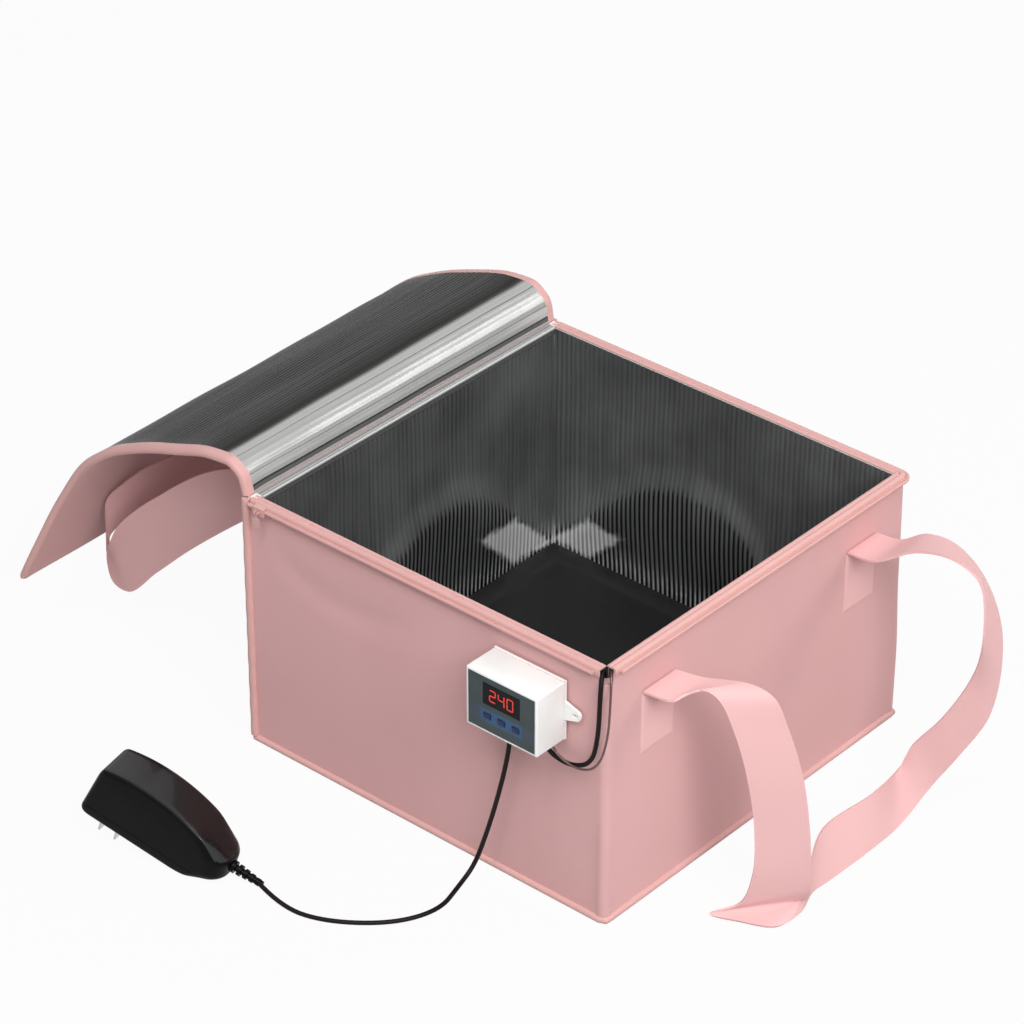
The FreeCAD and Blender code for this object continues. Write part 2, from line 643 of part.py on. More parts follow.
def heating_pad():
    """Flat pad with a sewn hem, a raised middle, a cable gland and a heater sheet inside."""
    half_x, half_y = pad_halves()
    hem = block((-half_x, half_x), (-half_y, half_y), (FLOOR, FLOOR + PAD_HEM_HEIGHT))
    low, high = [], []
    for points, inset, z in ((low, PAD_HEM, FLOOR + PAD_HEM_HEIGHT), (high, PAD_HEM + PAD_SLOPE, PAD_TOP)):
        x, y = half_x - inset, half_y - inset
        points += [Vector(-x, -y, z), Vector(x, -y, z), Vector(x, y, z), Vector(-x, y, z)]
    middle = Part.makeLoft([Part.makePolygon(low + low[:1]), Part.makePolygon(high + high[:1])], True, True)
    gland = block((-GLAND_LENGTH / 2, GLAND_LENGTH / 2), (-GLAND_WIDTH / 2, GLAND_WIDTH / 2),
                  (0, GLAND_HEIGHT))
    gland.rotate(Vector(), Vector(0, 0, 1), -45)
    gland.translate(gland_middle())
    x, y = half_x - HEATER_MARGIN, half_y - HEATER_MARGIN
    z = FLOOR + HEATER_LIFT
    heater = block((-x, x), (-y, y), (z, z + HEATER_THICKNESS))
    save("pad_cover", hem.fuse([middle, gland]).removeSplitter().cut(heater))
    save("pad_heater", heater)


def control_levels():
    """Depths of the thermostat's layers, outwards from the wall."""
    back = -HALF_D - GRIP_PAD
    case = back - BACK_PLATE
    front = case - CONTROL_DEPTH
    board = front + PANEL + BOARD_SETBACK
    return back, case, front, board


def centred(width, height, y, shift=(0.0, 0.0)):
    """Upright block on the thermostat's middle line."""
    x, z = CONTROL_X + shift[0], CONTROL_Z + shift[1]
    return block((x - width / 2, x + width / 2), y, (z - height / 2, z + height / 2))


def cord_hole(route, diameter):
    """Round cutter where a cord goes up into the thermostat."""
    end = stretch(route)
    radius = diameter / 2 + CORD_HOLE_CLEARANCE
    return Part.makeCylinder(radius, CONTROL_HEIGHT / 2, Vector(end.x, end.y, end.z - CONTROL_HEIGHT / 3))


def ear(side):
    """Fixing ear at one side of the back plate, with its screw slot."""
    back, case = control_levels()[:2]
    root = CONTROL_X + side * CONTROL_WIDTH / 2
    tip = root + side * (EAR_LENGTH - EAR_TIP)
    lean = EAR_ROOT / 2
    points = [Vector(root, case, CONTROL_Z - lean), Vector(tip, case, CONTROL_Z - EAR_TIP),
              Vector(tip, case, CONTROL_Z + EAR_TIP), Vector(root, case, CONTROL_Z + lean)]
    arm = prism(points, Vector(0, BACK_PLATE, 0))
    arm = arm.fuse(Part.makeCylinder(EAR_TIP, BACK_PLATE, Vector(tip, case, CONTROL_Z), Vector(0, 1, 0)))
    slot = centred(EAR_SLOT_LENGTH, EAR_SLOT, (case, back), (tip - CONTROL_X, 0))
    return arm.cut(slot)


def button_places():
    """Middle of each button from the thermostat's centre."""
    return [(index * BUTTON_PITCH, -BUTTON_DROP) for index in (-1, 0, 1)]


def thermostat_shell():
    """Case, back plate with ears and grip pad."""
    back, case, front = control_levels()[:3]
    inner_w, inner_h = CONTROL_WIDTH - 2 * CONTROL_WALL, CONTROL_HEIGHT - 2 * CONTROL_WALL
    shell = centred(CONTROL_WIDTH, CONTROL_HEIGHT, (front, case))
    shell = shell.cut(centred(inner_w, inner_h, (front, case)))
    lip = centred(inner_w, inner_h, (front + PANEL, front + PANEL + LEDGE))
    lip = lip.cut(centred(inner_w - 2 * LEDGE, inner_h - 2 * LEDGE, (front, case)))
    shell = shell.fuse(lip).removeSplitter()
    for route, diameter in ((POWER_ROUTE[0], CORD_DIAMETER), (LEAD_ROUTE[-1], CORD_DIAMETER),
                            (PROBE_ROUTE[-1], PROBE_DIAMETER)):
        shell = shell.cut(cord_hole(route, diameter))
    save("thermostat_case", shell)
    plate = centred(CONTROL_WIDTH, CONTROL_HEIGHT, (case, back))
    save("thermostat_back", plate.fuse([ear(-1), ear(1)]).removeSplitter())
    save("grip_pad", centred(GRIP_WIDTH, GRIP_HEIGHT, (back, -HALF_D)))


def thermostat_front():
    """Front panel, window and the three buttons."""
    case, front, board = control_levels()[1:]
    gap = 2 * PANEL_CLEARANCE
    panel = centred(CONTROL_WIDTH - 2 * CONTROL_WALL - gap, CONTROL_HEIGHT - 2 * CONTROL_WALL - gap,
                    (front, front + PANEL))
    panel = panel.cut(centred(WINDOW_WIDTH + gap, WINDOW_HEIGHT + gap, (front, case), (0, WINDOW_RISE)))
    hole = 2 * BUTTON_CLEARANCE
    deep = front + PANEL + BUTTON_CLEARANCE
    for name, place in zip(("button_set", "button_up", "button_down"), button_places()):
        panel = panel.cut(centred(BUTTON_WIDTH + hole, BUTTON_HEIGHT + hole, (front, case), place))
        cap = centred(BUTTON_WIDTH, BUTTON_HEIGHT, (front - BUTTON_PROUD, deep), place)
        flange = centred(BUTTON_WIDTH + 2 * hole + 1, BUTTON_HEIGHT + 2 * hole + 1,
                         (deep, deep + BUTTON_FLANGE), place)
        stem = Part.makeCylinder(BUTTON_STEM, board - deep - 1.5 * BUTTON_TRAVEL,
                                 Vector(CONTROL_X + place[0], deep, CONTROL_Z + place[1]), Vector(0, 1, 0))
        save(name, cap.fuse([flange, stem]).removeSplitter())
    save("thermostat_panel", panel)
    save("display_window", centred(WINDOW_WIDTH, WINDOW_HEIGHT, (front, front + WINDOW_THICKNESS),
                                   (0, WINDOW_RISE)))


def thermostat_inside():
    """Circuit board with its display block and relay."""
    front, board = control_levels()[2:]
    slack = 2 * (CONTROL_WALL + BOARD_CLEARANCE)
    save("circuit_board", centred(CONTROL_WIDTH - slack, CONTROL_HEIGHT - slack, (board, board + BOARD)))
    save("display_module", centred(WINDOW_WIDTH, WINDOW_HEIGHT - 2 * PANEL_CLEARANCE,
                                   (front + WINDOW_THICKNESS, board), (0, WINDOW_RISE)))
    save("relay", centred(RELAY[0], RELAY[1], (board + BOARD, board + BOARD + RELAY[2]), RELAY_SHIFT))


def cord_path(route):
    """Straight runs joined by tangent arcs as large as the runs allow, and the radii."""
    edges, radii = [], []
    last = route[0]
    for before, corner, after in zip(route, route[1:], route[2:]):
        back, ahead = before - corner, after - corner
        cut = ARC_SHARE * min(back.Length, ahead.Length)
        turn = math.pi - back.getAngle(ahead)
        radii.append(cut / math.tan(turn / 2))
        start = corner + back.normalize() * cut
        stop = corner + ahead.normalize() * cut
        middle = (back + ahead).normalize()
        hub = corner + middle * (radii[-1] / math.cos(turn / 2))
        edges += [Part.LineSegment(last, start), Part.Arc(start, hub - middle * radii[-1], stop)]
        last = stop
    edges.append(Part.LineSegment(last, route[-1]))
    return Part.Wire([edge.toShape() for edge in edges]), radii


def cord_tube(name, route, diameter):
    """Round cord along a route, with its length and bends reported."""
    path, radii = cord_path(route)
    ring = Part.Wire(Part.makeCircle(diameter / 2, route[0], route[1] - route[0]))
    tube = path.makePipeShell([ring], True, False)
    share = tube.Volume / (math.pi * diameter ** 2 / 4 * path.Length)
    print("%s length %.1f least radius %.1f volume share %.4f" % (name, path.Length, min(radii), share))
    print("  radii " + " ".join("%.0f" % radius for radius in radii))
    return save(name, tube)


def lead_start():
    """First two points of the pad's lead, straight out of its gland."""
    way = Vector(1, -1, 0).normalize()
    end = gland_middle() + way * (GLAND_LENGTH / 2) + Vector(0, 0, GLAND_HEIGHT / 2)
    return [end, end + way * GLAND_LEAD]


def cords():
    """Power cord, pad lead, and probe wire with its tip."""
    cord_tube("power_cord", [stretch(p) for p in POWER_ROUTE] + [adapter_exit()], CORD_DIAMETER)
    cord_tube("pad_lead", lead_start() + [stretch(p) for p in LEAD_ROUTE], CORD_DIAMETER)
    probe = [stretch(p) for p in PROBE_ROUTE]
    cord_tube("probe_wire", probe, PROBE_DIAMETER)
    way = (probe[0] - probe[1]).normalize()
    end = probe[0] + Vector(0, 0, PAD_TOP + PROBE_TIP_RADIUS - probe[0].z)
    tip = Part.makeCylinder(PROBE_TIP_RADIUS, PROBE_TIP_LENGTH, end, way)
    nose = Part.makeCone(PROBE_TIP_RADIUS, PROBE_TIP_RADIUS / 2, PROBE_TIP_NOSE,
                         end + way * PROBE_TIP_LENGTH, way)
    save("probe_tip", tip.fuse(nose).removeSplitter())


def adapter_frame():
    """Placement of the adapter: it leans on its blades and on its cord end."""
    turn = Rotation(Vector(0, 0, 1), ADAPTER_YAW).multiply(Rotation(Vector(0, 1, 0), ADAPTER_PITCH))
    corner = stretch(ADAPTER_CORNER)
    return Placement(corner - turn.multVec(Vector(ADAPTER_FLAT, 0, 0)), turn)


def adapter_exit():
    """Place where the cord ends, a little way inside the sleeve of the adapter."""
    along = ADAPTER_LENGTH + RELIEF_LENGTH - RELIEF_GRIP
    return adapter_frame().multVec(Vector(along, ADAPTER_THICKNESS / 2, RELIEF_RISE))


def adapter_body():
    """Arched housing seen from its side, with a round nose seen from above."""
    nose = ADAPTER_LENGTH
    top = [Vector(ADAPTER_LEFT_LEAN, 0, ADAPTER_LEFT_HEIGHT), Vector(ADAPTER_FLAT / 2, 0, ADAPTER_CROWN),
           Vector(nose, 0, ADAPTER_NOSE_HEIGHT)]
    tail = [Vector(nose, 0, ADAPTER_NOSE_LIFT), Vector(ADAPTER_FLAT, 0, 0), Vector()]
    edges = [Part.Arc(*top).toShape(), Part.makePolygon([top[2]] + tail + [top[0]])]
    side = Part.Face(Part.Wire(Part.Wire(edges[0]).Edges + edges[1].Edges))
    body = side.extrude(Vector(0, ADAPTER_THICKNESS, 0))
    plan = block((-nose, nose), (0, ADAPTER_THICKNESS), (-nose, nose))
    nose_edges = [edge for edge in plan.Edges
                  if edge.BoundBox.XMin > nose - 1 and edge.BoundBox.ZLength > nose]
    return body.common(plan.makeFillet(ADAPTER_NOSE_ROUND, nose_edges))


def strain_relief():
    """Ribbed sleeve on the cord where it leaves the adapter."""
    step = RELIEF_LENGTH / RELIEF_RIBS
    sleeve = []
    for index in range(RELIEF_RIBS):
        share = index / (RELIEF_RIBS - 1)
        wide = RELIEF_RADIUS + (RELIEF_TIP - RELIEF_RADIUS) * share
        sleeve.append(Part.makeCylinder(wide, step * 0.55, Vector(index * step, 0, 0), Vector(1, 0, 0)))
        sleeve.append(Part.makeCylinder(RELIEF_TIP * 0.9, step, Vector(index * step, 0, 0), Vector(1, 0, 0)))
    return sleeve[0].fuse(sleeve[1:]).removeSplitter()


def adapter():
    """Wall adapter in two halves, with its blades and the sleeve of its cord."""
    frame = adapter_frame()
    body = adapter_body()
    far = 2 * ADAPTER_LENGTH
    low = block((-far, far), (-far, far), (-far, ADAPTER_SEAM))
    middle = ADAPTER_THICKNESS / 2
    plug = block((PLUG_START, PLUG_START + PLUG_LENGTH), (middle - PLUG_WIDTH / 2, middle + PLUG_WIDTH / 2),
                 (-PLUG_HEIGHT, 0))
    first = PLUG_START + (PLUG_LENGTH - BLADE_PITCH) / 2
    blades = []
    for x in (first, first + BLADE_PITCH):
        blades.append(block((x - BLADE_THICKNESS / 2, x + BLADE_THICKNESS / 2),
                            (middle - BLADE_WIDTH / 2, middle + BLADE_WIDTH / 2),
                            (-PLUG_HEIGHT - BLADE_LENGTH, -PLUG_HEIGHT)))
    sleeve = strain_relief()
    sleeve.translate(Vector(ADAPTER_LENGTH, middle, RELIEF_RISE))
    pieces = {"adapter_top": body.cut(low), "adapter_base": body.common(low).fuse(plug).removeSplitter(),
              "adapter_blades": Part.makeCompound(blades), "adapter_strain_relief": sleeve}
    for name, shape in pieces.items():
        shape.Placement = frame.multiply(shape.Placement)
        save(name, shape)
        print("%s lowest %.2f" % (name, shape.optimalBoundingBox().ZMin))


def main():
    """Build every piece of the box and of what stands with it."""
    os.makedirs("parts", exist_ok=True)
    covers()
    foams()
    linings()
    trims()
    closures()
    lid()
    straps()
    heating_pad()
    thermostat_shell()
    thermostat_front()
    thermostat_inside()
    cords()
    adapter()


main()
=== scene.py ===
"""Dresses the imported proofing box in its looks.

A soft box of pink cloth with a ribbed foil lining, a lid thrown back over the hinge wall, carry straps, a
heating pad, a thermostat on the front wall, and a wall adapter on a thin cord. All sizes are in metres, in
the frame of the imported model.
"""
import logging
import math
from dataclasses import dataclass
from enum import Enum, IntEnum
from typing import Callable, Sequence

import bpy
import numpy as np
from mathutils import Matrix, Vector


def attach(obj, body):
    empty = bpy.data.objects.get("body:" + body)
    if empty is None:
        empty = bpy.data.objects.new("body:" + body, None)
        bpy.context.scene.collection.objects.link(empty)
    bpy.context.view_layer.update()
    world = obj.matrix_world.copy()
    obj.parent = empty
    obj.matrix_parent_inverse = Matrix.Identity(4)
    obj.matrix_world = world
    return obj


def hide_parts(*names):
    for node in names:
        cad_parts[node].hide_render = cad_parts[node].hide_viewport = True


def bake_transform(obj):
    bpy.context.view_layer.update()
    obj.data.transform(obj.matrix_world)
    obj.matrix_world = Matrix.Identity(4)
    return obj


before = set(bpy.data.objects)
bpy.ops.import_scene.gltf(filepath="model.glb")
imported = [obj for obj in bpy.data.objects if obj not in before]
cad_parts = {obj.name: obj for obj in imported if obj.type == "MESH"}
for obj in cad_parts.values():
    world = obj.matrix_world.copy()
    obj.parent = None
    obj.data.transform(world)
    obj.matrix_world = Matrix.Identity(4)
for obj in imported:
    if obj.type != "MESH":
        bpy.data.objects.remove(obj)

log = logging.getLogger("proofing_box")

MM = 0.001
RIB_PITCH = 0.0043
STITCH_PITCH = 0.0036
Array = np.ndarray
Piece = bpy.types.Object
Pairs = tuple[tuple[float, float], ...]
Point = tuple[float, float, float]
Colour = tuple[float, float, float, float]
Place = Callable[[Array, Array], Array]


def shade(code: str) -> Colour:
    """Turns a screen colour into the linear colour of a shader.

    Args:
        code: six hexadecimal digits, red first.

    Returns:
        Linear red, green, blue and an alpha of one.
    """
    parts = [int(code[i:i + 2], 16) / 255 for i in (0, 2, 4)]
    red, green, blue = (c / 12.92 if c <= 0.04045 else ((c + 0.055) / 1.055) ** 2.4 for c in parts)
    return red, green, blue, 1.0


def ease(value: Array, low: float, high: float) -> Array:
    """Smooth step of a value from 0 at low to 1 at high."""
    share = np.clip((value - low) / (high - low), 0, 1)
    return share * share * (3 - 2 * share)


class Slot(Enum):
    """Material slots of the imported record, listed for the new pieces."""

    COVER = "cover"
    BINDING = "binding"
    STRAP = "strap"
    FOIL = "foil"
    ZIP = "zip"
    PAD = "pad"
    BLACK_CORD = "black_cord"
    PROBE_WIRE = "probe_wire"
    WHITE_CASE = "white_case"
    DISPLAY = "display"
    BUTTON = "button"
    BLACK_PLASTIC = "black_plastic"


def node_math(operation: str, reflected: bool = False) -> "Callable[..., Socket]":
    """Makes an operator that adds one Math node.

    Args:
        operation: Blender's name of the operation.
        reflected: whether the other value comes first.

    Returns:
        The method for a socket.
    """
    def method(self: "Socket", *others: "Socket | float") -> "Socket":
        """Adds the node for this socket and the other values."""
        values = (*others, self) if reflected else (self, *others)
        return self.bench.math(operation, *values)

    return method


class Socket:
    """Output of a shader node that takes part in Python expressions."""

    __add__, __radd__ = node_math("ADD"), node_math("ADD", True)
    __sub__, __rsub__ = node_math("SUBTRACT"), node_math("SUBTRACT", True)
    __mul__, __rmul__ = node_math("MULTIPLY"), node_math("MULTIPLY", True)
    __truediv__ = node_math("DIVIDE")
    __gt__, __lt__ = node_math("GREATER_THAN"), node_math("LESS_THAN")
    __abs__, sin, fract = node_math("ABSOLUTE"), node_math("SINE"), node_math("FRACT")

    def __init__(self, bench: "NodeBench", out: bpy.types.NodeSocket) -> None:
        """Wraps one output socket."""
        self.bench = bench
        self.out = out


class NodeBench:
    """Node tree of one material, with one way to add any node."""

    def __init__(self, name: str, world: bool = False) -> None:
        """Starts an empty material, or an empty world."""
        self.material = (bpy.data.worlds if world else bpy.data.materials).new(name)
        self.material.use_nodes = True
        self.tree = self.material.node_tree
        self.tree.nodes.clear()

    def node(self, kind: str, settings: dict | None = None, inputs: dict | None = None,
             output: int | str = 0) -> Socket:
        """Adds a node of any kind.

        Args:
            kind: Blender's name of the node.
            settings: values of the node itself, set first; stops is a ramp's list of places and colours.
            inputs: values or sockets for its inputs, by name or number.
            output: the output that is wanted.

        Returns:
            That output.
        """
        made = self.tree.nodes.new(kind)
        for name, value in (settings or {}).items():
            if name == "stops":
                self.set_stops(made.color_ramp, value)
            else:
                setattr(made, name, value)
        for name, value in (inputs or {}).items():
            if isinstance(value, Socket):
                self.tree.links.new(value.out, made.inputs[name])
            else:
                made.inputs[name].default_value = value
        return Socket(self, made.outputs[output] if made.outputs else None)

    @staticmethod
    def set_stops(ramp: bpy.types.ColorRamp, stops: Sequence[tuple[float, Colour]]) -> None:
        """Gives a colour ramp its stops.

        Args:
            ramp: the ramp of a node.
            stops: places from 0 to 1, each with its colour.
        """
        while len(ramp.elements) < len(stops):
            ramp.elements.new(1.0)
        for element, (place, colour) in zip(ramp.elements, stops):
            element.position = place
            element.color = colour

    def math(self, operation: str, *values: Socket | float) -> Socket:
        """Adds one Math node."""
        return self.node("ShaderNodeMath", {"operation": operation}, dict(enumerate(values)))

    def flat(self) -> tuple[Socket, Socket]:
        """The piece's own surface coordinates, in metres along and across."""
        uv = self.node("ShaderNodeTexCoord", output="UV")
        kind = "ShaderNodeSeparateXYZ"
        return self.node(kind, None, {0: uv}, 0), self.node(kind, None, {0: uv}, 1)

    def space(self) -> Socket:
        """Object coordinates."""
        return self.node("ShaderNodeTexCoord", output="Object")

    def axis(self, number: int) -> Socket:
        """One Object coordinate: 0 is X, 1 is Y and 2 is Z."""
        return self.node("ShaderNodeSeparateXYZ", None, {0: self.space()}, number)

    def noise(self, vector: Socket, scale: float, detail: float = 2.0) -> Socket:
        """Smooth noise from about 0 to 1."""
        return self.node("ShaderNodeTexNoise", None, {"Vector": vector, "Scale": scale, "Detail": detail})

    def stretched(self, vector: Socket, scale: Point) -> Socket:
        """Coordinates with each axis scaled on its own."""
        return self.node("ShaderNodeMapping", None, {"Vector": vector, "Scale": scale})

    def step(self, value: Socket, low: float, high: float) -> Socket:
        """Smooth step of a value from 0 at low to 1 at high, which may be the smaller."""
        return self.node("ShaderNodeMapRange", {"interpolation_type": "SMOOTHSTEP"},
                         {0: value, 1: low, 2: high, 3: 0.0, 4: 1.0})

    def mix(self, share: Socket, first: Socket | Colour, second: Socket | Colour) -> Socket:
        """Mixes two colours by a share from 0 to 1."""
        return self.node("ShaderNodeMix", {"data_type": "RGBA", "clamp_factor": True},
                         {0: share, 6: first, 7: second}, 2)

    def bump(self, height: Socket, strength: float, distance: float) -> Socket:
        """Normal of a surface with a height in units of distance."""
        return self.node("ShaderNodeBump", None,
                         {"Height": height, "Strength": strength, "Distance": distance}, "Normal")

    def surface(self, inputs: dict) -> bpy.types.Material:
        """Ends the material in one Principled shader.

        Args:
            inputs: values and sockets of the shader.

        Returns:
            The finished material.
        """
        shader = self.node("ShaderNodeBsdfPrincipled", None, inputs)
        self.node("ShaderNodeOutputMaterial", None, {"Surface": shader})
        return self.material


@dataclass(frozen=True)
class Cloth:
    """Plain woven cloth, with threads, fuzz and slow changes of tone."""

    name: str
    colour: str
    light: str
    thread: float = 0.0011
    relief: float = 0.09
    roughness: float = 0.78
    sheen: float = 0.18
    stitch_rows: tuple[float, ...] = ()
    stitch_pitch: float = 0.0034

    def make(self) -> bpy.types.Material:
        """Builds the material.

        Returns:
            The cloth, woven along the piece's own coordinates.
        """
        bench = NodeBench(self.name)
        along, across = bench.flat()
        turn = math.pi / self.thread
        weave = (along * turn).sin() * (across * turn).sin()
        fuzz = bench.noise(bench.space(), 1400.0)
        tone = bench.noise(bench.space(), 9.0)
        share = 0.5 + weave * 0.04 + (fuzz - 0.5) * 0.3 + (tone - 0.5) * 0.7
        height = weave * 0.5 + fuzz * 0.5
        if self.stitch_rows:
            dash = ((along / self.stitch_pitch).fract() > 0.32)
            near = 0.0
            for row in self.stitch_rows:
                near = near + (abs(across - row) < 0.00045)
            stitch = dash * near
            height = height + stitch * 0.5
            share = share - stitch * 0.12
        colour = bench.mix(share, shade(self.colour), shade(self.light))
        return bench.surface({
            "Base Color": colour, "Roughness": self.roughness + (fuzz - 0.5) * 0.1,
            "Normal": bench.bump(height, self.relief, 0.0003), "Sheen Weight": self.sheen,
            "Sheen Roughness": 0.45, "Sheen Tint": shade("F6DCDA"), "Specular IOR Level": 0.3})


@dataclass(frozen=True)
class Tape:
    """Ribbed binding tape with a row of stitches."""

    name: str
    colour: str
    light: str
    rib: float = 0.0013
    stitch: float = 0.0042
    stitch_pitch: float = 0.0034

    def make(self) -> bpy.types.Material:
        """Builds the material.

        Returns:
            The tape, with ribs across its length.
        """
        bench = NodeBench(self.name)
        along, across = bench.flat()
        ribs = (along * (2 * math.pi / self.rib)).sin()
        fuzz = bench.noise(bench.space(), 1200.0)
        tone = bench.noise(bench.space(), 14.0)
        dash = (along / self.stitch_pitch).fract() > 0.3
        line = dash * (abs(across - self.stitch) < 0.0005)
        share = 0.5 + ribs * 0.07 + (fuzz - 0.5) * 0.3 + (tone - 0.5) * 0.5 - line * 0.45
        height = ribs * 0.5 + fuzz * 0.4 - line * 1.5
        return bench.surface({
            "Base Color": bench.mix(share, shade(self.colour), shade(self.light)),
            "Roughness": 0.7 + (fuzz - 0.5) * 0.12, "Normal": bench.bump(height, 0.25, 0.0003),
            "Sheen Weight": 0.15, "Sheen Roughness": 0.45, "Specular IOR Level": 0.3})


@dataclass(frozen=True)
class Glint:
    """Slanted patch of painted glint on a wall's film, where it would throw back the light."""

    centre: Point
    axis: int
    half: float
    rise: float
    tall: float

    def mask(self, bench: NodeBench, crease: Socket) -> Socket:
        """Marks the patch.

        Args:
            bench: the material's bench.
            crease: fine noise that frays its edge.

        Returns:
            One inside the patch, and nothing outside it and on the other walls.
        """
        run = bench.axis(self.axis) - self.centre[self.axis]
        lift = bench.axis(2) - self.centre[2] - run * self.rise
        wall = abs(bench.axis(1 - self.axis) - self.centre[1 - self.axis]) < 0.02
        size = abs(run) / self.half + abs(lift) / self.tall + (crease - 0.5) * 0.5
        return bench.step(size, 1.05, 0.7) * wall


@dataclass(frozen=True)
class Foil:
    """Metal film pressed into ribs, with painted shade in the grooves and painted reflection on the ribs,
    dulled in patches.
    """

    name: str
    dark: str
    light: str
    pitch: float
    roughness: float
    metallic: float = 1.0
    streak: float = 1.5
    painted_rib_shade: float = 0.55
    cloud: float = 0.5
    painted_bands: tuple[tuple[float, str], ...] = ()
    glints: tuple[Glint, ...] = ()
    specular: float = 0.5
    rim_tint: str = "FFFFFF"
    level: float = 0.475

    def make(self) -> bpy.types.Material:
        """Builds the material.

        Returns:
            The film, with its ribs across the piece's first coordinate.
        """
        bench = NodeBench(self.name)
        along = bench.flat()[0]
        wave = (along * (2 * math.pi / self.pitch)).sin() * 0.5 + 0.5
        streak = bench.noise(bench.stretched(bench.node("ShaderNodeTexCoord", output="UV"),
                                             (420.0, 6.0, 1.0)), 1.0, 3.0)
        patch = bench.noise(bench.space(), 16.0, 3.0)
        crease = bench.noise(bench.space(), 160.0, 3.0)
        painted_rib_shade, level, metallic = self.painted_rib_shade, self.level, self.metallic
        if self.glints:
            # tone is painted light and shade by how the buckled film leans; below the crest the painted rib
            # shade is stronger and the film darker
            below, tone = (bench.node("ShaderNodeAttribute", {"attribute_name": name}, output="Fac")
                           for name in ("below", "tone"))
            painted_rib_shade = self.painted_rib_shade * (0.4 + below * 1.7)
            level = tone - below * 0.14 + self.level
        # painted_rib_shade paints shade into the rib grooves and reflection onto the ribs
        share = (wave - 0.5) * painted_rib_shade + (streak - 0.5) * self.streak + (patch - 0.5) * self.cloud + level
        rough = self.roughness + (patch - 0.5) * 0.16 + (crease - 0.5) * 0.08
        colour = bench.mix(share, shade(self.dark), shade(self.light))
        # painted reflection bands over the first stretch of the film
        if self.painted_bands:
            colour = self.paint_reflection(bench, along + (streak - 0.5) * 0.0012, colour)
        if self.glints:
            # Painted glint: pale colour and less metal where the film would throw back the light
            painted_glint = self.painted_glint(bench, wave, crease)
            colour = bench.mix(painted_glint, colour, shade("ECECEC"))
            metallic = self.metallic - painted_glint * 0.6
        return bench.surface({
            "Base Color": colour, "Metallic": metallic, "Roughness": rough,
            "Specular IOR Level": self.specular, "Specular Tint": shade(self.rim_tint),
            "Normal": bench.bump(crease * 0.6 + streak * 0.4, 0.18, 0.0004)})

    def painted_glint(self, bench: NodeBench, wave: Socket, crease: Socket) -> Socket:
        """Marks the painted glints on the film, and the painted highlights on the ribs at its foot.

        Args:
            bench: the material's bench.
            wave: one on the ribs and nothing between them.
            crease: fine noise.

        Returns:
            A share from 0 to 1.
        """
        patches = 0.0
        for glint in self.glints:
            patches = patches + glint.mask(bench, crease)
        lines = bench.math("POWER", wave, 5.0)
        foot = bench.step(bench.axis(2), 0.044, 0.020) * lines * (crease * 1.7)
        return bench.math("MINIMUM", patches * (0.55 + wave * 0.35) + foot, 1.0)

    def paint_reflection(self, bench: NodeBench, along: Socket, plain: Socket) -> Socket:
        """Lays painted reflection, in bright and dark bands, over the first stretch of the film.

        Args:
            bench: the material's bench.
            along: distance along the film.
            plain: colour of the rest of it.

        Returns:
            The colour of the whole film.
        """
        reach = self.painted_bands[-1][0]
        stops = [(place / reach, shade(code)) for place, code in self.painted_bands]
        ramp = bench.node("ShaderNodeValToRGB", {"stops": stops}, {0: along / reach})
        return bench.mix(bench.step(along, reach - 0.012, reach), ramp, plain)


# Painted reflection of the lid's foil and of the fold over the hinge wall: bright and dark bands by run from
# the hinge
LID_PAINTED_REFLECTION = (
    (0.0, "ADADAC"), (0.0014, "B2B2B1"), (0.0019, "636362"), (0.0044, "6B6B6A"), (0.0050, "2F2F2E"),
    (0.0056, "363635"), (0.0062, "B3B3B2"), (0.0130, "BDBDBC"), (0.0136, "555554"), (0.0141, "A0A09F"),
    (0.0190, "979796"), (0.0225, "A8A8A7"), (0.0270, "9C9C9B"), (0.0312, "A4A4A3"), (0.0317, "3D3D3C"),
    (0.0323, "A8A8A7"), (0.0385, "AFAFAE"), (0.0410, "828281"), (0.0425, "484847"), (0.0445, "373736"),
    (0.0475, "2B2B2A"), (0.0483, "151514"), (0.0492, "363635"), (0.0570, "3B3B3A"), (0.0578, "20201F"),
    (0.0586, "414140"), (0.0660, "3A3A39"))
FOLD_PAINTED_REFLECTION = (
    (0.0, "5A5A5A"), (0.0038, "606060"), (0.0044, "A8A8A7"), (0.0056, "BEBEBD"), (0.0060, "6A6A69"),
    (0.0064, "B0B0AF"), (0.0080, "B8B8B7"), (0.0084, "626261"), (0.0090, "A2A2A1"), (0.0116, "AAAAA9"),
    (0.0300, "AAAAA9"))
# Painted glints low on the hinge and back walls
WALL_GLINTS = (Glint((-0.1500, 0.1068, 0.0385), 1, 0.048, -0.51, 0.022),
               Glint((-0.1165, 0.1500, 0.0340), 0, 0.040, 0.425, 0.0195))


@dataclass(frozen=True)
class Plastic:
    """Moulded plastic with a fine spark finish."""

    name: str
    colour: str
    light: str
    roughness: float
    grain: float = 2600.0
    relief: float = 0.08
    coat: float = 0.0
    specular: float = 0.5

    def make(self) -> bpy.types.Material:
        """Builds the material.

        Returns:
            The plastic, with grain, faint clouds and a change of gloss.
        """
        bench = NodeBench(self.name)
        grain = bench.noise(bench.space(), self.grain, 1.0)
        cloud = bench.noise(bench.space(), 40.0, 3.0)
        share = 0.35 + (cloud - 0.5) * 0.9 + (grain - 0.5) * 0.4
        return bench.surface({
            "Base Color": bench.mix(share, shade(self.colour), shade(self.light)),
            "Roughness": self.roughness + (cloud - 0.5) * 0.12 + (grain - 0.5) * 0.08,
            "Normal": bench.bump(grain, self.relief, 0.0002), "Coat Weight": self.coat,
            "Specular IOR Level": self.specular})


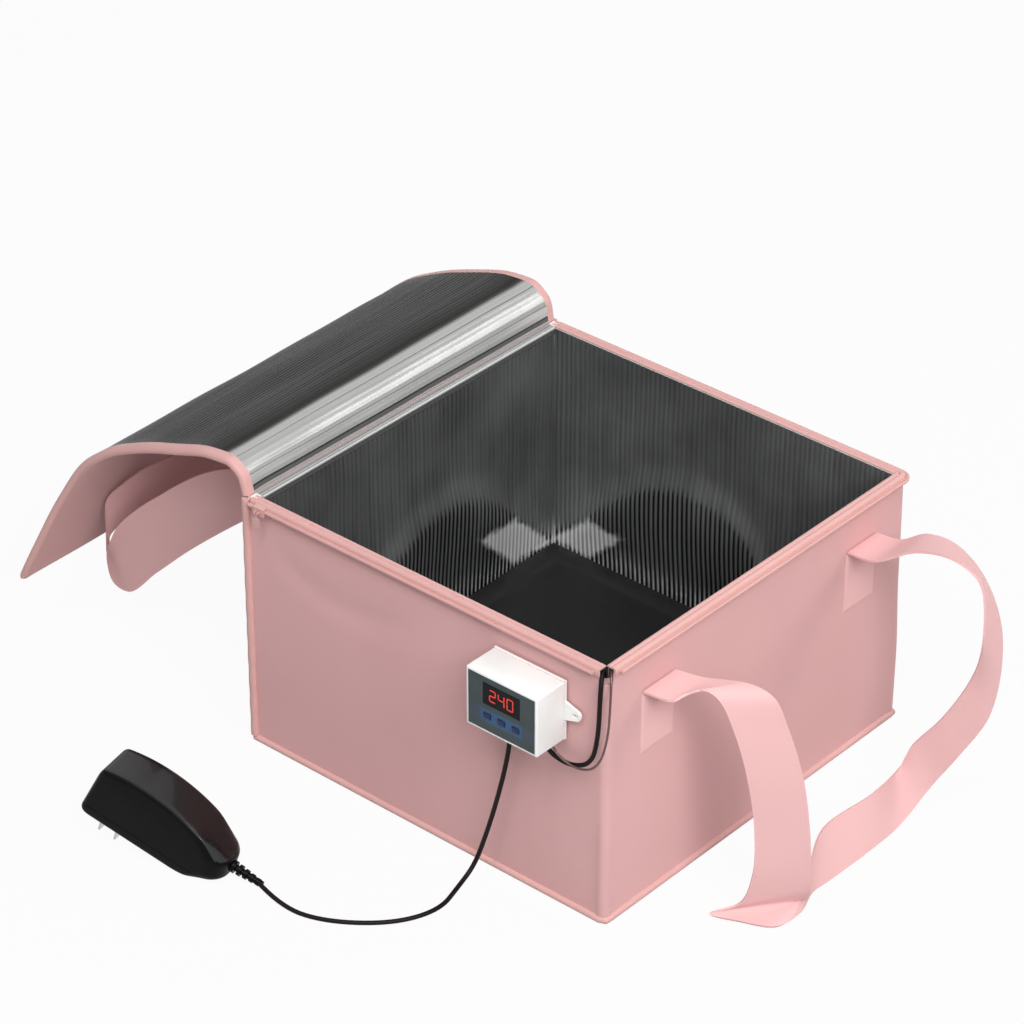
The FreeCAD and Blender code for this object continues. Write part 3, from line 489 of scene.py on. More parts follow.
@dataclass(frozen=True)
class Metal:
    """Plated metal with fine scratches."""

    name: str
    colour: str
    light: str
    roughness: float

    def make(self) -> bpy.types.Material:
        """Builds the material.

        Returns:
            The metal.
        """
        bench = NodeBench(self.name)
        scratch = bench.noise(bench.stretched(bench.space(), (300.0, 300.0, 2500.0)), 1.0, 2.0)
        cloud = bench.noise(bench.space(), 90.0)
        return bench.surface({
            "Base Color": bench.mix(scratch * 0.6 + cloud * 0.4, shade(self.colour), shade(self.light)),
            "Metallic": 1.0, "Roughness": self.roughness + (scratch - 0.5) * 0.2,
            "Normal": bench.bump(scratch, 0.06, 0.0001)})


@dataclass(frozen=True)
class PanelPrint:
    """Front panel of the thermostat: dark film with a paler band, blue behind the buttons."""

    name: str
    band_low: float = 0.1440
    band_high: float = 0.1540
    keys_left: float = 0.0780
    keys_right: float = 0.1130

    def make(self) -> bpy.types.Material:
        """Builds the material.

        Returns:
            The panel film.
        """
        bench = NodeBench(self.name)
        height = bench.axis(2)
        grain = bench.noise(bench.space(), 1800.0, 1.0)
        cloud = bench.noise(bench.space(), 60.0)
        across = bench.axis(0)
        ground = bench.mix(cloud, shade("2F393B"), shade("3E4A4D"))
        band = bench.mix(cloud, shade("343E4A"), shade("3F4B59"))
        keys = bench.mix(cloud, shade("2B4767"), shade("355A80"))
        inside = (height > self.band_low) * (height < self.band_high)
        middle = inside * (across > self.keys_left) * (across < self.keys_right)
        return bench.surface({
            "Base Color": bench.mix(middle, bench.mix(inside, ground, band), keys),
            "Roughness": 0.34 + (grain - 0.5) * 0.15, "Normal": bench.bump(grain, 0.05, 0.0001),
            "Specular IOR Level": 0.25})


@dataclass(frozen=True)
class Glow:
    """Lit bars of the display."""

    name: str
    colour: str
    strength: float

    def make(self) -> bpy.types.Material:
        """Builds the material.

        Returns:
            The lit bars, a little uneven.
        """
        bench = NodeBench(self.name)
        cloud = bench.noise(bench.space(), 500.0)
        lit = bench.mix(cloud, shade(self.colour), shade("F0402E"))
        return bench.surface({"Base Color": shade("300404"), "Roughness": 0.4, "Emission Color": lit,
                              "Emission Strength": self.strength})


class Finishes:
    """Every finish of the object, made once."""

    def __init__(self) -> None:
        """Makes all the materials."""
        recipes = {
            "cover": Cloth("cover_cloth", "C99B9A", "D9ABAB"),
            "strap": Cloth("strap_cloth", "D5A7A6", "E5B8B8", thread=0.0013, relief=0.10,
                           stitch_rows=(0.0022, 0.0308)),
            "tape": Tape("binding_tape", "C49692", "D6A8A4"),
            "zip": Tape("zip_coil", "C4948F", "DBABA6", rib=0.0011, stitch=-1.0),
            "wall_foil": Foil("wall_foil", "1E1F20", "B4B5B6", RIB_PITCH, 0.34, 0.8, 0.5, 0.5, 0.6,
                              glints=WALL_GLINTS, level=0.58),
            "lid_foil": Foil("lid_foil", "20201F", "505050", RIB_PITCH, 0.28, 0.35, 2.4, 0.2, 0.3,
                             painted_bands=LID_PAINTED_REFLECTION, specular=0.1, rim_tint="404040"),
            "fold_foil": Foil("fold_foil", "2A2A2A", "4A4A4A", STITCH_PITCH, 0.45, 0.35, 0.4, 0.1,
                              painted_bands=FOLD_PAINTED_REFLECTION, specular=0.1, rim_tint="404040"),
            "floor_foil": Foil("floor_foil", "5C5D5E", "A4A6A8", RIB_PITCH, 0.36, 0.9),
            "foam": Plastic("foam", "D8D6D0", "EAE8E2", 0.9, 700.0, 0.5),
            "pad": Cloth("pad_cloth", "0E0E0F", "1A1A1B", thread=0.0008, relief=0.16, roughness=0.5,
                         sheen=0.0),
            "heater": Plastic("heater_film", "3A2A1C", "4E3A28", 0.45),
            "cord": Plastic("cord_rubber", "0E0808", "1C1111", 0.5, 1500.0, 0.06, 0.0, 0.14),
            "probe": Plastic("probe_sleeve", "462824", "5A3531", 0.24, 1500.0, 0.03, 0.5, 0.5),
            "steel": Metal("probe_steel", "9A9C9E", "C4C6C8", 0.28),
            "case": Plastic("case_white", "E4E4E2", "F2F2F0", 0.42),
            "panel": PanelPrint("panel_film"),
            "window": Plastic("window_film", "070304", "0E0506", 0.3, 900.0, 0.02, 0.0, 0.12),
            "digits": Glow("display_bars", "D81E18", 0.9),
            "button": Plastic("button_blue", "0C1A36", "183056", 0.4, specular=0.3),
            "board": Plastic("board_green", "1D5A35", "2A6E44", 0.5),
            "relay": Plastic("relay_blue", "1C4F9A", "2A61B2", 0.45),
            "grip": Plastic("grip_loop", "1A1A1B", "2C2C2E", 0.95, 1500.0, 0.9),
            "black": Plastic("adapter_black", "060607", "0C0C0D", 0.32, 2200.0, 0.06, 0.0, 0.08),
            "gloss": Plastic("adapter_gloss", "080809", "121213", 0.2, 2200.0, 0.05, 0.25, 0.4),
            "blade": Metal("blade_nickel", "A8A6A0", "D2D0CA", 0.24),
            "zip_metal": Plastic("zip_paint", "C2948F", "DDB2AD", 0.32, 2600.0, 0.04, 0.3),
        }
        self.made = {name: recipe.make() for name, recipe in recipes.items()}

    def __getitem__(self, name: str) -> bpy.types.Material:
        """One finish by its name."""
        return self.made[name]


class Bench:
    """Modelling operators shared by all the pieces."""

    @staticmethod
    def clear() -> None:
        """Leaves edit mode and deselects everything."""
        if bpy.context.object and bpy.context.object.mode != "OBJECT":
            bpy.ops.object.mode_set(mode="OBJECT")
        bpy.ops.object.select_all(action="DESELECT")

    @classmethod
    def pick(cls, piece: Piece) -> None:
        """Makes one piece the only selected and the active one."""
        cls.clear()
        piece.select_set(True)
        bpy.context.view_layer.objects.active = piece

    @classmethod
    def weld(cls, piece: Piece, cap: bool = True) -> None:
        """Joins doubled points, closes open ends and turns the faces outwards.

        Args:
            piece: the piece to close.
            cap: whether holes are filled.
        """
        cls.pick(piece)
        bpy.ops.object.mode_set(mode="EDIT")
        bpy.ops.mesh.select_all(action="SELECT")
        bpy.ops.mesh.remove_doubles(threshold=2e-6)
        if cap:
            bpy.ops.mesh.fill_holes(sides=0)
            bpy.ops.mesh.select_all(action="SELECT")
        bpy.ops.mesh.normals_make_consistent(inside=False)
        bpy.ops.object.mode_set(mode="OBJECT")

    @classmethod
    def smooth(cls, piece: Piece, angle: float) -> None:
        """Shades a piece smooth, apart from edges sharper than an angle."""
        cls.pick(piece)
        bpy.ops.object.shade_smooth_by_angle(angle=math.radians(angle))

    @classmethod
    def block(cls, name: str, low: Sequence[float], high: Sequence[float], bevel: float,
              segments: int = 3) -> Piece:
        """Adds a block with rounded edges between two corners.

        Args:
            name: name of the piece.
            low: lowest corner.
            high: highest corner.
            bevel: radius of its edges.
            segments: faces round an edge.

        Returns:
            The new piece.
        """
        cls.clear()
        bpy.ops.mesh.primitive_cube_add(size=1)
        piece = bpy.context.object
        piece.name = piece.data.name = name
        size, middle = Vector(high) - Vector(low), (Vector(high) + Vector(low)) / 2
        bpy.ops.object.mode_set(mode="EDIT")
        bpy.ops.mesh.select_all(action="SELECT")
        bpy.ops.transform.resize(value=size)
        bpy.ops.transform.translate(value=middle)
        bpy.ops.mesh.select_all(action="SELECT")
        bpy.ops.mesh.bevel(offset=bevel, segments=segments, affect="EDGES")
        bpy.ops.object.mode_set(mode="OBJECT")
        cls.smooth(piece, 35)
        return piece


@dataclass
class Grid:
    """Grid of quads laid on a surface.

    place gives the points for shares along and across, from 0 to 1. size is the surface's length and width,
    for its own coordinates.
    """

    name: str
    columns: int
    rows: int
    place: Place
    size: tuple[float, float]

    def plain(self) -> Piece:
        """Makes the grid alone.

        Returns:
            The new piece.
        """
        Bench.clear()
        bpy.ops.mesh.primitive_grid_add(x_subdivisions=self.columns, y_subdivisions=self.rows, size=2,
                                        calc_uvs=True)
        piece = bpy.context.object
        piece.name = piece.data.name = self.name
        mesh = piece.data
        spots = np.empty(len(mesh.vertices) * 3)
        mesh.vertices.foreach_get("co", spots)
        spots = spots.reshape(-1, 3)
        along, across = (spots[:, 0] + 1) / 2, (spots[:, 1] + 1) / 2
        mesh.vertices.foreach_set("co", np.asarray(self.place(along, across), np.float32).ravel())
        corner = np.empty(len(mesh.loops), np.int32)
        mesh.loops.foreach_get("vertex_index", corner)
        flat = np.column_stack((along * self.size[0], across * self.size[1]))[corner]
        mesh.uv_layers.active.data.foreach_set("uv", flat.astype(np.float32).ravel())
        mesh.update()
        return piece

    def sheet(self, thickness: float, offset: float = -1.0,
              marks: dict[str, Array] | None = None) -> Piece:
        """Makes the grid and gives it a thickness.

        Args:
            thickness: thickness of the sheet.
            offset: -1 if it grows behind the grid, 0 both ways and 1 in front.
            marks: shares for the grid's points, by the name of the attribute that keeps them.

        Returns:
            The new piece.
        """
        piece = self.plain()
        for key, level in (marks or {}).items():
            held = piece.data.attributes.new(key, "FLOAT", "POINT")
            held.data.foreach_set("value", level.astype(np.float32))
        Bench.pick(piece)
        modifier = piece.modifiers.new("thickness", "SOLIDIFY")
        modifier.thickness, modifier.offset = thickness, offset
        bpy.ops.object.modifier_apply(modifier=modifier.name)
        Bench.smooth(piece, 60)
        return piece

    def skin(self, angle: float) -> Piece:
        """Makes the grid round a closed shape, welds it and closes its ends.

        Args:
            angle: edges sharper than this stay sharp, in degrees.

        Returns:
            The closed piece.
        """
        piece = self.plain()
        Bench.weld(piece)
        Bench.smooth(piece, angle)
        return piece


@dataclass
class Maker:
    """Maker of pieces in the object's finishes."""

    finishes: Finishes

    def settle(self, piece: Piece, finish: str, slot: Slot, nodes: Sequence[str] = (),
               body: str = "box") -> None:
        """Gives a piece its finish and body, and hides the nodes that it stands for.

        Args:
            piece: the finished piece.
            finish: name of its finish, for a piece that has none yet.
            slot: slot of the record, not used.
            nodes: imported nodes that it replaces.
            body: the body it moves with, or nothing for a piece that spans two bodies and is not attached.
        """
        if not piece.data.materials:
            piece.data.materials.append(self.finishes[finish])
        if body:
            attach(piece, body)
        if nodes:
            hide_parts(*nodes)
        log.info("%s on %s for %s", piece.name, body or "two bodies", ", ".join(nodes) or "no node")


@dataclass
class Studio:
    """Camera, lamps, floor and world."""

    spot: Point = (1.51615, -1.80810, 1.68478)
    azimuth: float = 41.0739
    elevation: float = 32.5653
    lens: float = 145.56
    floor_half: float = 6.0
    floor_white: float = 0.95

    def build(self) -> None:
        """Sets up everything that isn't the object."""
        self.camera()
        self.floor()
        self.world()
        self.lamp("key", (2.0, -1.1, 2.05), (0.05, 0.0, 0.1), 1.5, 66.0)
        self.lamp("fill", (0.4, -1.5, 2.9), (0.0, 0.0, 0.1), 1.4, 40.0)
        self.lamp("bend_softbox", (1.15, 1.75, 1.65), (-0.17, 0.0, 0.21), 1.0, 18.0)
        bpy.context.scene.view_settings.view_transform = "Standard"

    def camera(self) -> None:
        """Puts the camera at the photograph's viewpoint."""
        data = bpy.data.cameras.new("camera")
        data.lens = self.lens
        data.clip_end = 50.0
        camera = bpy.data.objects.new("camera", data)
        camera.location = self.spot
        camera.rotation_euler = (math.radians(90 - self.elevation), 0.0, math.radians(self.azimuth))
        bpy.context.scene.collection.objects.link(camera)
        bpy.context.scene.camera = camera

    @staticmethod
    def lamp(name: str, spot: Point, aim: Point, size: float,
             power: float) -> None:
        """Adds one square soft lamp.

        Args:
            name: its name.
            spot: where it stands.
            aim: what it points at.
            size: length of its sides.
            power: its power in watts.
        """
        data = bpy.data.lights.new(name, "AREA")
        data.size = size
        data.energy = power
        lamp = bpy.data.objects.new(name, data)
        lamp.location = spot
        lamp.rotation_euler = (Vector(aim) - Vector(spot)).to_track_quat("-Z", "Y").to_euler()
        lamp.visible_camera = False
        bpy.context.scene.collection.objects.link(lamp)

    @staticmethod
    def seen(bench: NodeBench) -> Socket:
        """One for rays that look straight at the backdrop, or by a mirror or through glass."""
        camera = bench.node("ShaderNodeLightPath", output="Is Camera Ray")
        glossy = bench.node("ShaderNodeLightPath", output="Is Glossy Ray")
        through = bench.node("ShaderNodeLightPath", output="Is Transmission Ray")
        return bench.math("MINIMUM", camera + glossy + through, 1.0)

    def floor(self) -> None:
        """Lays a pale floor that keeps a faint shadow."""
        Bench.clear()
        bpy.ops.mesh.primitive_plane_add(size=2 * self.floor_half, location=(0, 0, -0.0004))
        plane = bpy.context.object
        plane.name = "floor"
        bench = NodeBench("floor_paper")
        paper = bench.node("ShaderNodeBsdfDiffuse", None, {"Color": shade("B8B8B8")})
        glow = bench.node("ShaderNodeEmission", None, {"Color": (1, 1, 1, 1), "Strength": 1.0})
        mixed = bench.node("ShaderNodeMixShader", None,
                           {0: self.seen(bench) * self.floor_white, 1: paper, 2: glow})
        bench.node("ShaderNodeOutputMaterial", None, {"Surface": mixed})
        plane.data.materials.append(bench.material)

    def world(self) -> None:
        """Fills the room with soft light, white where it is seen."""
        bench = NodeBench("room", world=True)
        bpy.context.scene.world = bench.material
        strength = 0.32 + self.seen(bench) * 0.68
        light = bench.node("ShaderNodeBackground", None, {"Color": (1, 1, 1, 1), "Strength": strength})
        bench.node("ShaderNodeOutputWorld", None, {"Surface": light})


@dataclass(frozen=True)
class Cord:
    """One free cord along its route, in millimetres."""

    name: str
    node: str
    route: tuple[Point, ...]
    diameter: float
    length: float
    exit: Point
    far_end: str
    finish: str
    slot: Slot
    stiffness: str = "medium"


@dataclass
class Wiring(Maker):
    """Power cord, pad lead and probe wire."""

    power: Cord = Cord(
        "power_cord_line", "power_cord",
        ((86, -168, 140), (86, -168, 126), (82.5, -168.7, 100), (74, -169.3, 64), (64.5, -170, 31),
         (59.5, -175, 9), (60.5, -192, 1.8), (68, -219, 1.8), (54, -250, 1.8), (20, -277, 1.8),
         (-13, -285, 1.8), (-40.6, -278.1, 4.8)),
        3.2, 317.0, (86, -168, 136), "plug", "cord", Slot.BLACK_CORD)
    lead: Cord = Cord(
        "pad_lead_line", "pad_lead",
        ((122.95, -122.95, 20.5), (130.7, -130.7, 20.5), (142.3, -142.3, 31), (143.8, -143.6, 58),
         (143.2, -143.8, 106), (143.8, -143.4, 153), (143.9, -144.3, 178), (146.6, -148.4, 195.2),
         (152.6, -157.6, 195.2), (155.3, -162.3, 180), (155, -163, 154), (150, -162.8, 129),
         (134, -163.5, 119.5), (119.5, -166.4, 123.5), (115.2, -168, 131.5), (115, -168, 140)),
        3.2, 319.0, (122.95, -122.95, 20.5), "object", "cord", Slot.BLACK_CORD)
    probe: Cord = Cord(
        "probe_wire_line", "probe_wire",
        ((120.5, -169, 140), (120.8, -169, 133.5), (127.5, -168.2, 126), (143, -167.4, 122.5),
         (158, -166.4, 131), (163, -163, 154), (161.6, -159.4, 181), (157.2, -153.4, 195.6),
         (150.2, -145.4, 195.6), (146.8, -142, 181), (146.3, -141.2, 158), (145.7, -140.6, 112),
         (146, -141, 62), (145.6, -138.5, 33), (139, -129.5, 20.5), (122, -110, 19.6), (98, -82, 19.6),
         (62, -36, 19.6), (28, 10, 19.6), (-4, 58, 19.6), (-16, 92, 19.6), (-9, 113, 19.6), (9, 124, 19.6)),
        1.6, 616.0, (120.5, -169, 136), "fitting", "probe", Slot.PROBE_WIRE, "limp")

    def build(self, adapter: Sequence[str]) -> None:
        """Lays the three cords.

        Args:
            adapter: nodes of the adapter at the end of the power cord.
        """
        self.lay(self.power, adapter)
        self.lay(self.lead, ())
        self.lay(self.probe, ("probe_tip",))

    def lay(self, cord: Cord, pieces: Sequence[str]) -> None:
        """Draws a cord as one smooth spline.

        Args:
            cord: its route and its kind.
            pieces: pieces that hang on it, not used.
        """
        curve = bpy.data.curves.new(cord.name, "CURVE")
        curve.dimensions = "3D"
        spline = curve.splines.new("NURBS")
        spline.points.add(len(cord.route) - 1)
        for point, place in zip(spline.points, cord.route):
            point.co = (*(c * MM for c in place), 1.0)
        spline.order_u = 3
        spline.use_endpoint_u = True
        curve.resolution_u = 8
        curve.bevel_depth = cord.diameter * MM / 2
        curve.bevel_resolution = 4
        curve.use_fill_caps = True
        line = bpy.data.objects.new(cord.name, curve)
        bpy.context.scene.collection.objects.link(line)
        self.settle(line, cord.finish, cord.slot, [cord.node])


@dataclass(frozen=True)
class Plan:
    """Outline of the box from above, from the hinge wall's front end round to its back end."""

    half: float = 0.1575
    radius: float = 0.009

    @property
    def straight(self) -> float:
        """Length of the front up to its round corner."""
        return 2 * self.half - self.radius

    @property
    def bend(self) -> float:
        """Length of one round corner."""
        return math.pi / 2 * self.radius

    @property
    def side(self) -> float:
        """Length of the free side between its corners."""
        return 2 * (self.half - self.radius)

    @property
    def length(self) -> float:
        """Length of the whole outline."""
        return 2 * self.straight + 2 * self.bend + self.side

    @property
    def notch(self) -> float:
        """Run at the middle of the corner that the wires pass."""
        return self.straight + self.bend / 2

    def at(self, run: Array, out: Array | float, up: Array | float) -> Array:
        """Gives points on the outline.

        Args:
            run: distances along it.
            out: distances outside it.
            up: heights.

        Returns:
            One row of three coordinates for each run.
        """
        corner = self.half - self.radius
        later = run - self.straight - self.bend
        turn = (np.clip((run - self.straight) / self.bend, 0, 1)
                + np.clip((later - self.side) / self.bend, 0, 1)) * math.pi / 2
        x = np.minimum(run - self.half, corner) - np.maximum(later - self.side - self.bend, 0)
        y = np.clip(later, 0, self.side) - corner
        reach = self.radius + out
        return np.column_stack((x + np.sin(turn) * reach, y - np.cos(turn) * reach,
                                np.broadcast_to(up, run.shape)))


class Profile:
    """Closed cross-section of a tape or a bead, as distances out and up."""

    def __init__(self, points: Sequence[tuple[float, float]]) -> None:
        """Closes the points on themselves and measures the way round them."""
        self.points = np.array([*points, points[0]])
        self.cells = len(points)
        self.girth = float(np.linalg.norm(np.diff(self.points, axis=0), axis=1).sum())

    def at(self, share: Array) -> tuple[Array, Array]:
        """Distances out and up at shares of the way round, from 0 to 1."""
        marks = np.linspace(0, 1, len(self.points))
        return np.interp(share, marks, self.points[:, 0]), np.interp(share, marks, self.points[:, 1])

    def sweep(self, name: str, plan: Plan, start: float, stop: float, columns: int) -> Piece:
        """Sweeps the profile along the outline of the box.

        Args:
            name: name of the piece.
            plan: the outline.
            start: run where it begins.
            stop: run where it ends.
            columns: faces along.

        Returns:
            The closed piece.
        """
        def place(along: Array, across: Array) -> Array:
            """Points of the swept skin."""
            return plan.at(start + along * (stop - start), *self.at(across))

        return Grid(name, columns, self.cells, place, (stop - start, self.girth)).skin(50)


@dataclass
class Shell(Maker):
    """Cloth walls of the box with their bindings and piping."""

    plan: Plan = Plan(radius=0.006)
    low: float = 0.0012
    high: float = 0.1988
    hinge_high: float = 0.2000
    thickness: float = 0.0009
    puff: float = 0.0010
    notch_half: float = 0.0048
    notch_depth: float = 0.0102
    pinch: float = 0.0019
    rim: Pairs = (
        (0.0001, 0.1938), (0.0010, 0.1938), (0.0014, 0.1948), (0.0015, 0.1967), (0.0013, 0.1990),
        (0.0006, 0.2000), (-0.0006, 0.2004), (-0.0017, 0.2004), (-0.0025, 0.2000), (-0.0029, 0.1992),
        (-0.0033, 0.2000), (-0.0041, 0.2004), (-0.0052, 0.2003), (-0.0062, 0.1996), (-0.0062, 0.1989),
        (-0.0040, 0.1988), (-0.0004, 0.1988), (0.0001, 0.1984))
    coil: Pairs = (
        (0.0013, 0.1964), (0.0026, 0.1962), (0.0030, 0.1956), (0.0037, 0.1955), (0.0042, 0.1960),
        (0.0043, 0.1968), (0.0042, 0.1976), (0.0037, 0.1981), (0.0030, 0.1980), (0.0026, 0.1974),
        (0.0013, 0.1972))
    foot: Pairs = (
        (0.0000, 0.0003), (0.0014, 0.0003), (0.0024, 0.0010), (0.0029, 0.0024), (0.0025, 0.0038),
        (0.0016, 0.0047), (0.0000, 0.0050), (-0.0004, 0.0027))

    def build(self) -> None:
        """Makes the walls and their trims."""
        self.wrap()
        self.hinge_wall()
        self.bindings()
        self.piping()

    def swell(self, run: Array, up: Array) -> Array:
        """How far the soft wall stands out or in between its edges.

        Args:
            run: distances along the wall.
            up: shares of its height.

        Returns:
            Distances outwards.
        """
        edge = np.sin(np.pi * np.clip(up, 0, 1)) ** 0.7
        slow = np.sin(run * 31.0 + 2.2 * up) * 0.45 + np.sin(run * 57.0 - 3.1 * up + 1.3) * 0.25
        ripple = np.sin(run * 210.0 + 4.0 * np.sin(run * 23.0)) * 0.09 * (1 - up)
        smile = 0.74 + 22.0 * (run - 0.09) ** 2
        crease = np.exp(-((up - smile) / 0.05) ** 2) * ease(run, 0.015, 0.05) * (1 - ease(run, 0.11, 0.18))
        return self.puff * (edge * (0.55 + slow * 0.6 + ripple) - 1.1 * crease)

    def wrap(self) -> None:
        """Makes the skin of the front, free side and back as one sheet."""
        plan = self.plan
        marks = np.cumsum((0, plan.straight, plan.bend, plan.side, plan.bend, plan.straight))
        shares = np.array((0, 0.28, 0.38, 0.64, 0.70, 1.0))
        height = self.high - self.low

        def place(along: Array, across: Array) -> Array:
            """Points of the soft wall."""
            run = np.interp(along, shares, marks)
            dip = 1 - ease(np.abs(run - plan.notch), self.notch_half - 0.0006, self.notch_half + 0.0006)
            up = self.low + across * (height - self.notch_depth * dip)
            away = np.minimum(np.abs(run - plan.notch), np.abs(run - plan.notch - plan.side - plan.bend))
            fold = np.exp(-(away / 0.0045) ** 2) * (1 - ease(up, 0.05, 0.12))
            return plan.at(run, self.swell(run, across) + self.pinch * fold, up)

        piece = Grid("wall_wrap", 260, 36, place, (plan.length, height)).sheet(self.thickness)
        self.settle(piece, "cover", Slot.COVER, ["outer_wrap"])

    def hinge_wall(self) -> None:
        """Makes the skin of the hinge wall."""
        half, height = self.plan.half, self.hinge_high - self.low

        def place(along: Array, across: Array) -> Array:
            """Points of the soft wall."""
            out = self.swell(along * 2 * half + 1.4, across) * np.sin(np.pi * along) ** 0.5
            return np.column_stack((-half - out, half - along * 2 * half, self.low + across * height))

        piece = Grid("wall_hinge_side", 90, 36, place, (2 * half, height)).sheet(self.thickness)
        self.settle(piece, "cover", Slot.COVER, ["left_wall_cover"])

    def bindings(self) -> None:
        """Makes the bound rim and the zip outside it, open where the wires pass."""
        plan, begin = self.plan, 0.0036
        rim_gap, zip_gap = self.notch_half + 0.0003, plan.bend / 2 + 0.004
        trims = ((self.rim, "rim_tape_", "tape", Slot.BINDING, "rim_binding", rim_gap, 150),
                 (self.coil, "zip_coil_", "zip", Slot.ZIP, "rim_zip", zip_gap, 140))
        for points, name, finish, slot, node, gap, columns in trims:
            profile = Profile(points)
            front = profile.sweep(name + "front", plan, begin, plan.notch - gap, columns)
            self.settle(front, finish, slot, [node])
            back = profile.sweep(name + "back", plan, plan.notch + gap, plan.length - begin, 300)
            self.settle(back, finish, slot)

    def piping(self) -> None:
        """Makes the piping round the base and on the upright seams of the hinge wall."""
        edge, half, profile = Plan(radius=0.0022), self.plan.half, Profile(self.foot)
        ring = profile.sweep("base_piping_round", edge, -0.0012, edge.length + 0.0012, 260)
        self.settle(ring, "tape", Slot.BINDING, ["base_piping"])

        def hinge_side(along: Array, across: Array) -> Array:
            """Points of the piping under the hinge wall."""
            out, up = profile.at(across)
            return np.column_stack((-half - out, half - along * 2 * half, up))

        last = Grid("base_piping_hinge_side", 80, profile.cells, hinge_side, (2 * half, 0.012)).skin(50)
        self.settle(last, "tape", Slot.BINDING)
        for name, side in (("front", -1), ("back", 1)):
            self.seam(name, side)

    def seam(self, name: str, side: int) -> None:
        """Makes one upright bound seam of the hinge wall.

        Args:
            name: which end of the wall.
            side: -1 in front and 1 at the back.
        """
        centre, radius, low, high = 0.1583, 0.0030, 0.0051, 0.1990

        def place(along: Array, across: Array) -> Array:
            """Points of the bead, a little uneven along its length."""
            turn = across * 2 * math.pi
            wide = radius * (1 + 0.04 * np.sin(along * 60))
            return np.column_stack((-centre + np.cos(turn) * wide, side * centre + np.sin(turn) * wide,
                                    low + along * (high - low)))

        bead = Grid("seam_bead_" + name, 90, 16, place, (high - low, 2 * math.pi * radius)).skin(60)
        self.settle(bead, "tape", Slot.BINDING, ["side_piping"] if side < 0 else [])


@dataclass(frozen=True)
class Buckle:
    """Loose foot of a wall's film that buckles into the box.

    Runs are distances along the wall from the box's back corner on the hinge side. crest is the height of the
    buckle's upper edge by its run. rise and fade are the runs between which it grows and ends.
    """

    crest: Pairs
    rise: tuple[float, float]
    fade: tuple[float, float] = (0.215, 0.270)
    depth: float = 0.0044
    foot: float = 0.014
    soft: float = 0.030
    lean: float = 260.0

    def height(self, run: Array) -> Array:
        """Height of the crest."""
        return np.interp(run, *zip(*self.crest))

    def bulge(self, run: Array, up: Array) -> Array:
        """How far the film stands into the box.

        Args:
            run: distances along the wall.
            up: heights.

        Returns:
            Distances inwards.
        """
        span = ease(run, *self.rise) * (1 - ease(run, *self.fade))
        brow = np.maximum(self.height(run) - 0.006, 0.030)
        return self.depth * span * ease(up, self.foot, brow) * (1 - ease(up, brow, brow + self.soft))

    def marks(self, run: Array, up: Array) -> dict[str, Array]:
        """Says where the film leans back and gets painted light or leans forward and gets painted shade, and
        where it lies below the crest.

        Args:
            run: distances along the wall.
            up: heights.

        Returns:
            Two shares for each point, by the name of the attribute that keeps them.
        """
        # tone is painted light where the film leans back and painted shade where it leans forward, scaled by
        # lean
        slope = (self.bulge(run, up) - self.bulge(run, up + 0.003)) * self.lean
        crest = self.height(run)
        return {"tone": slope * np.where(slope > 0, 0.35, 0.5),
                "below": 1 - ease(up, crest - 0.003, crest + 0.003)}


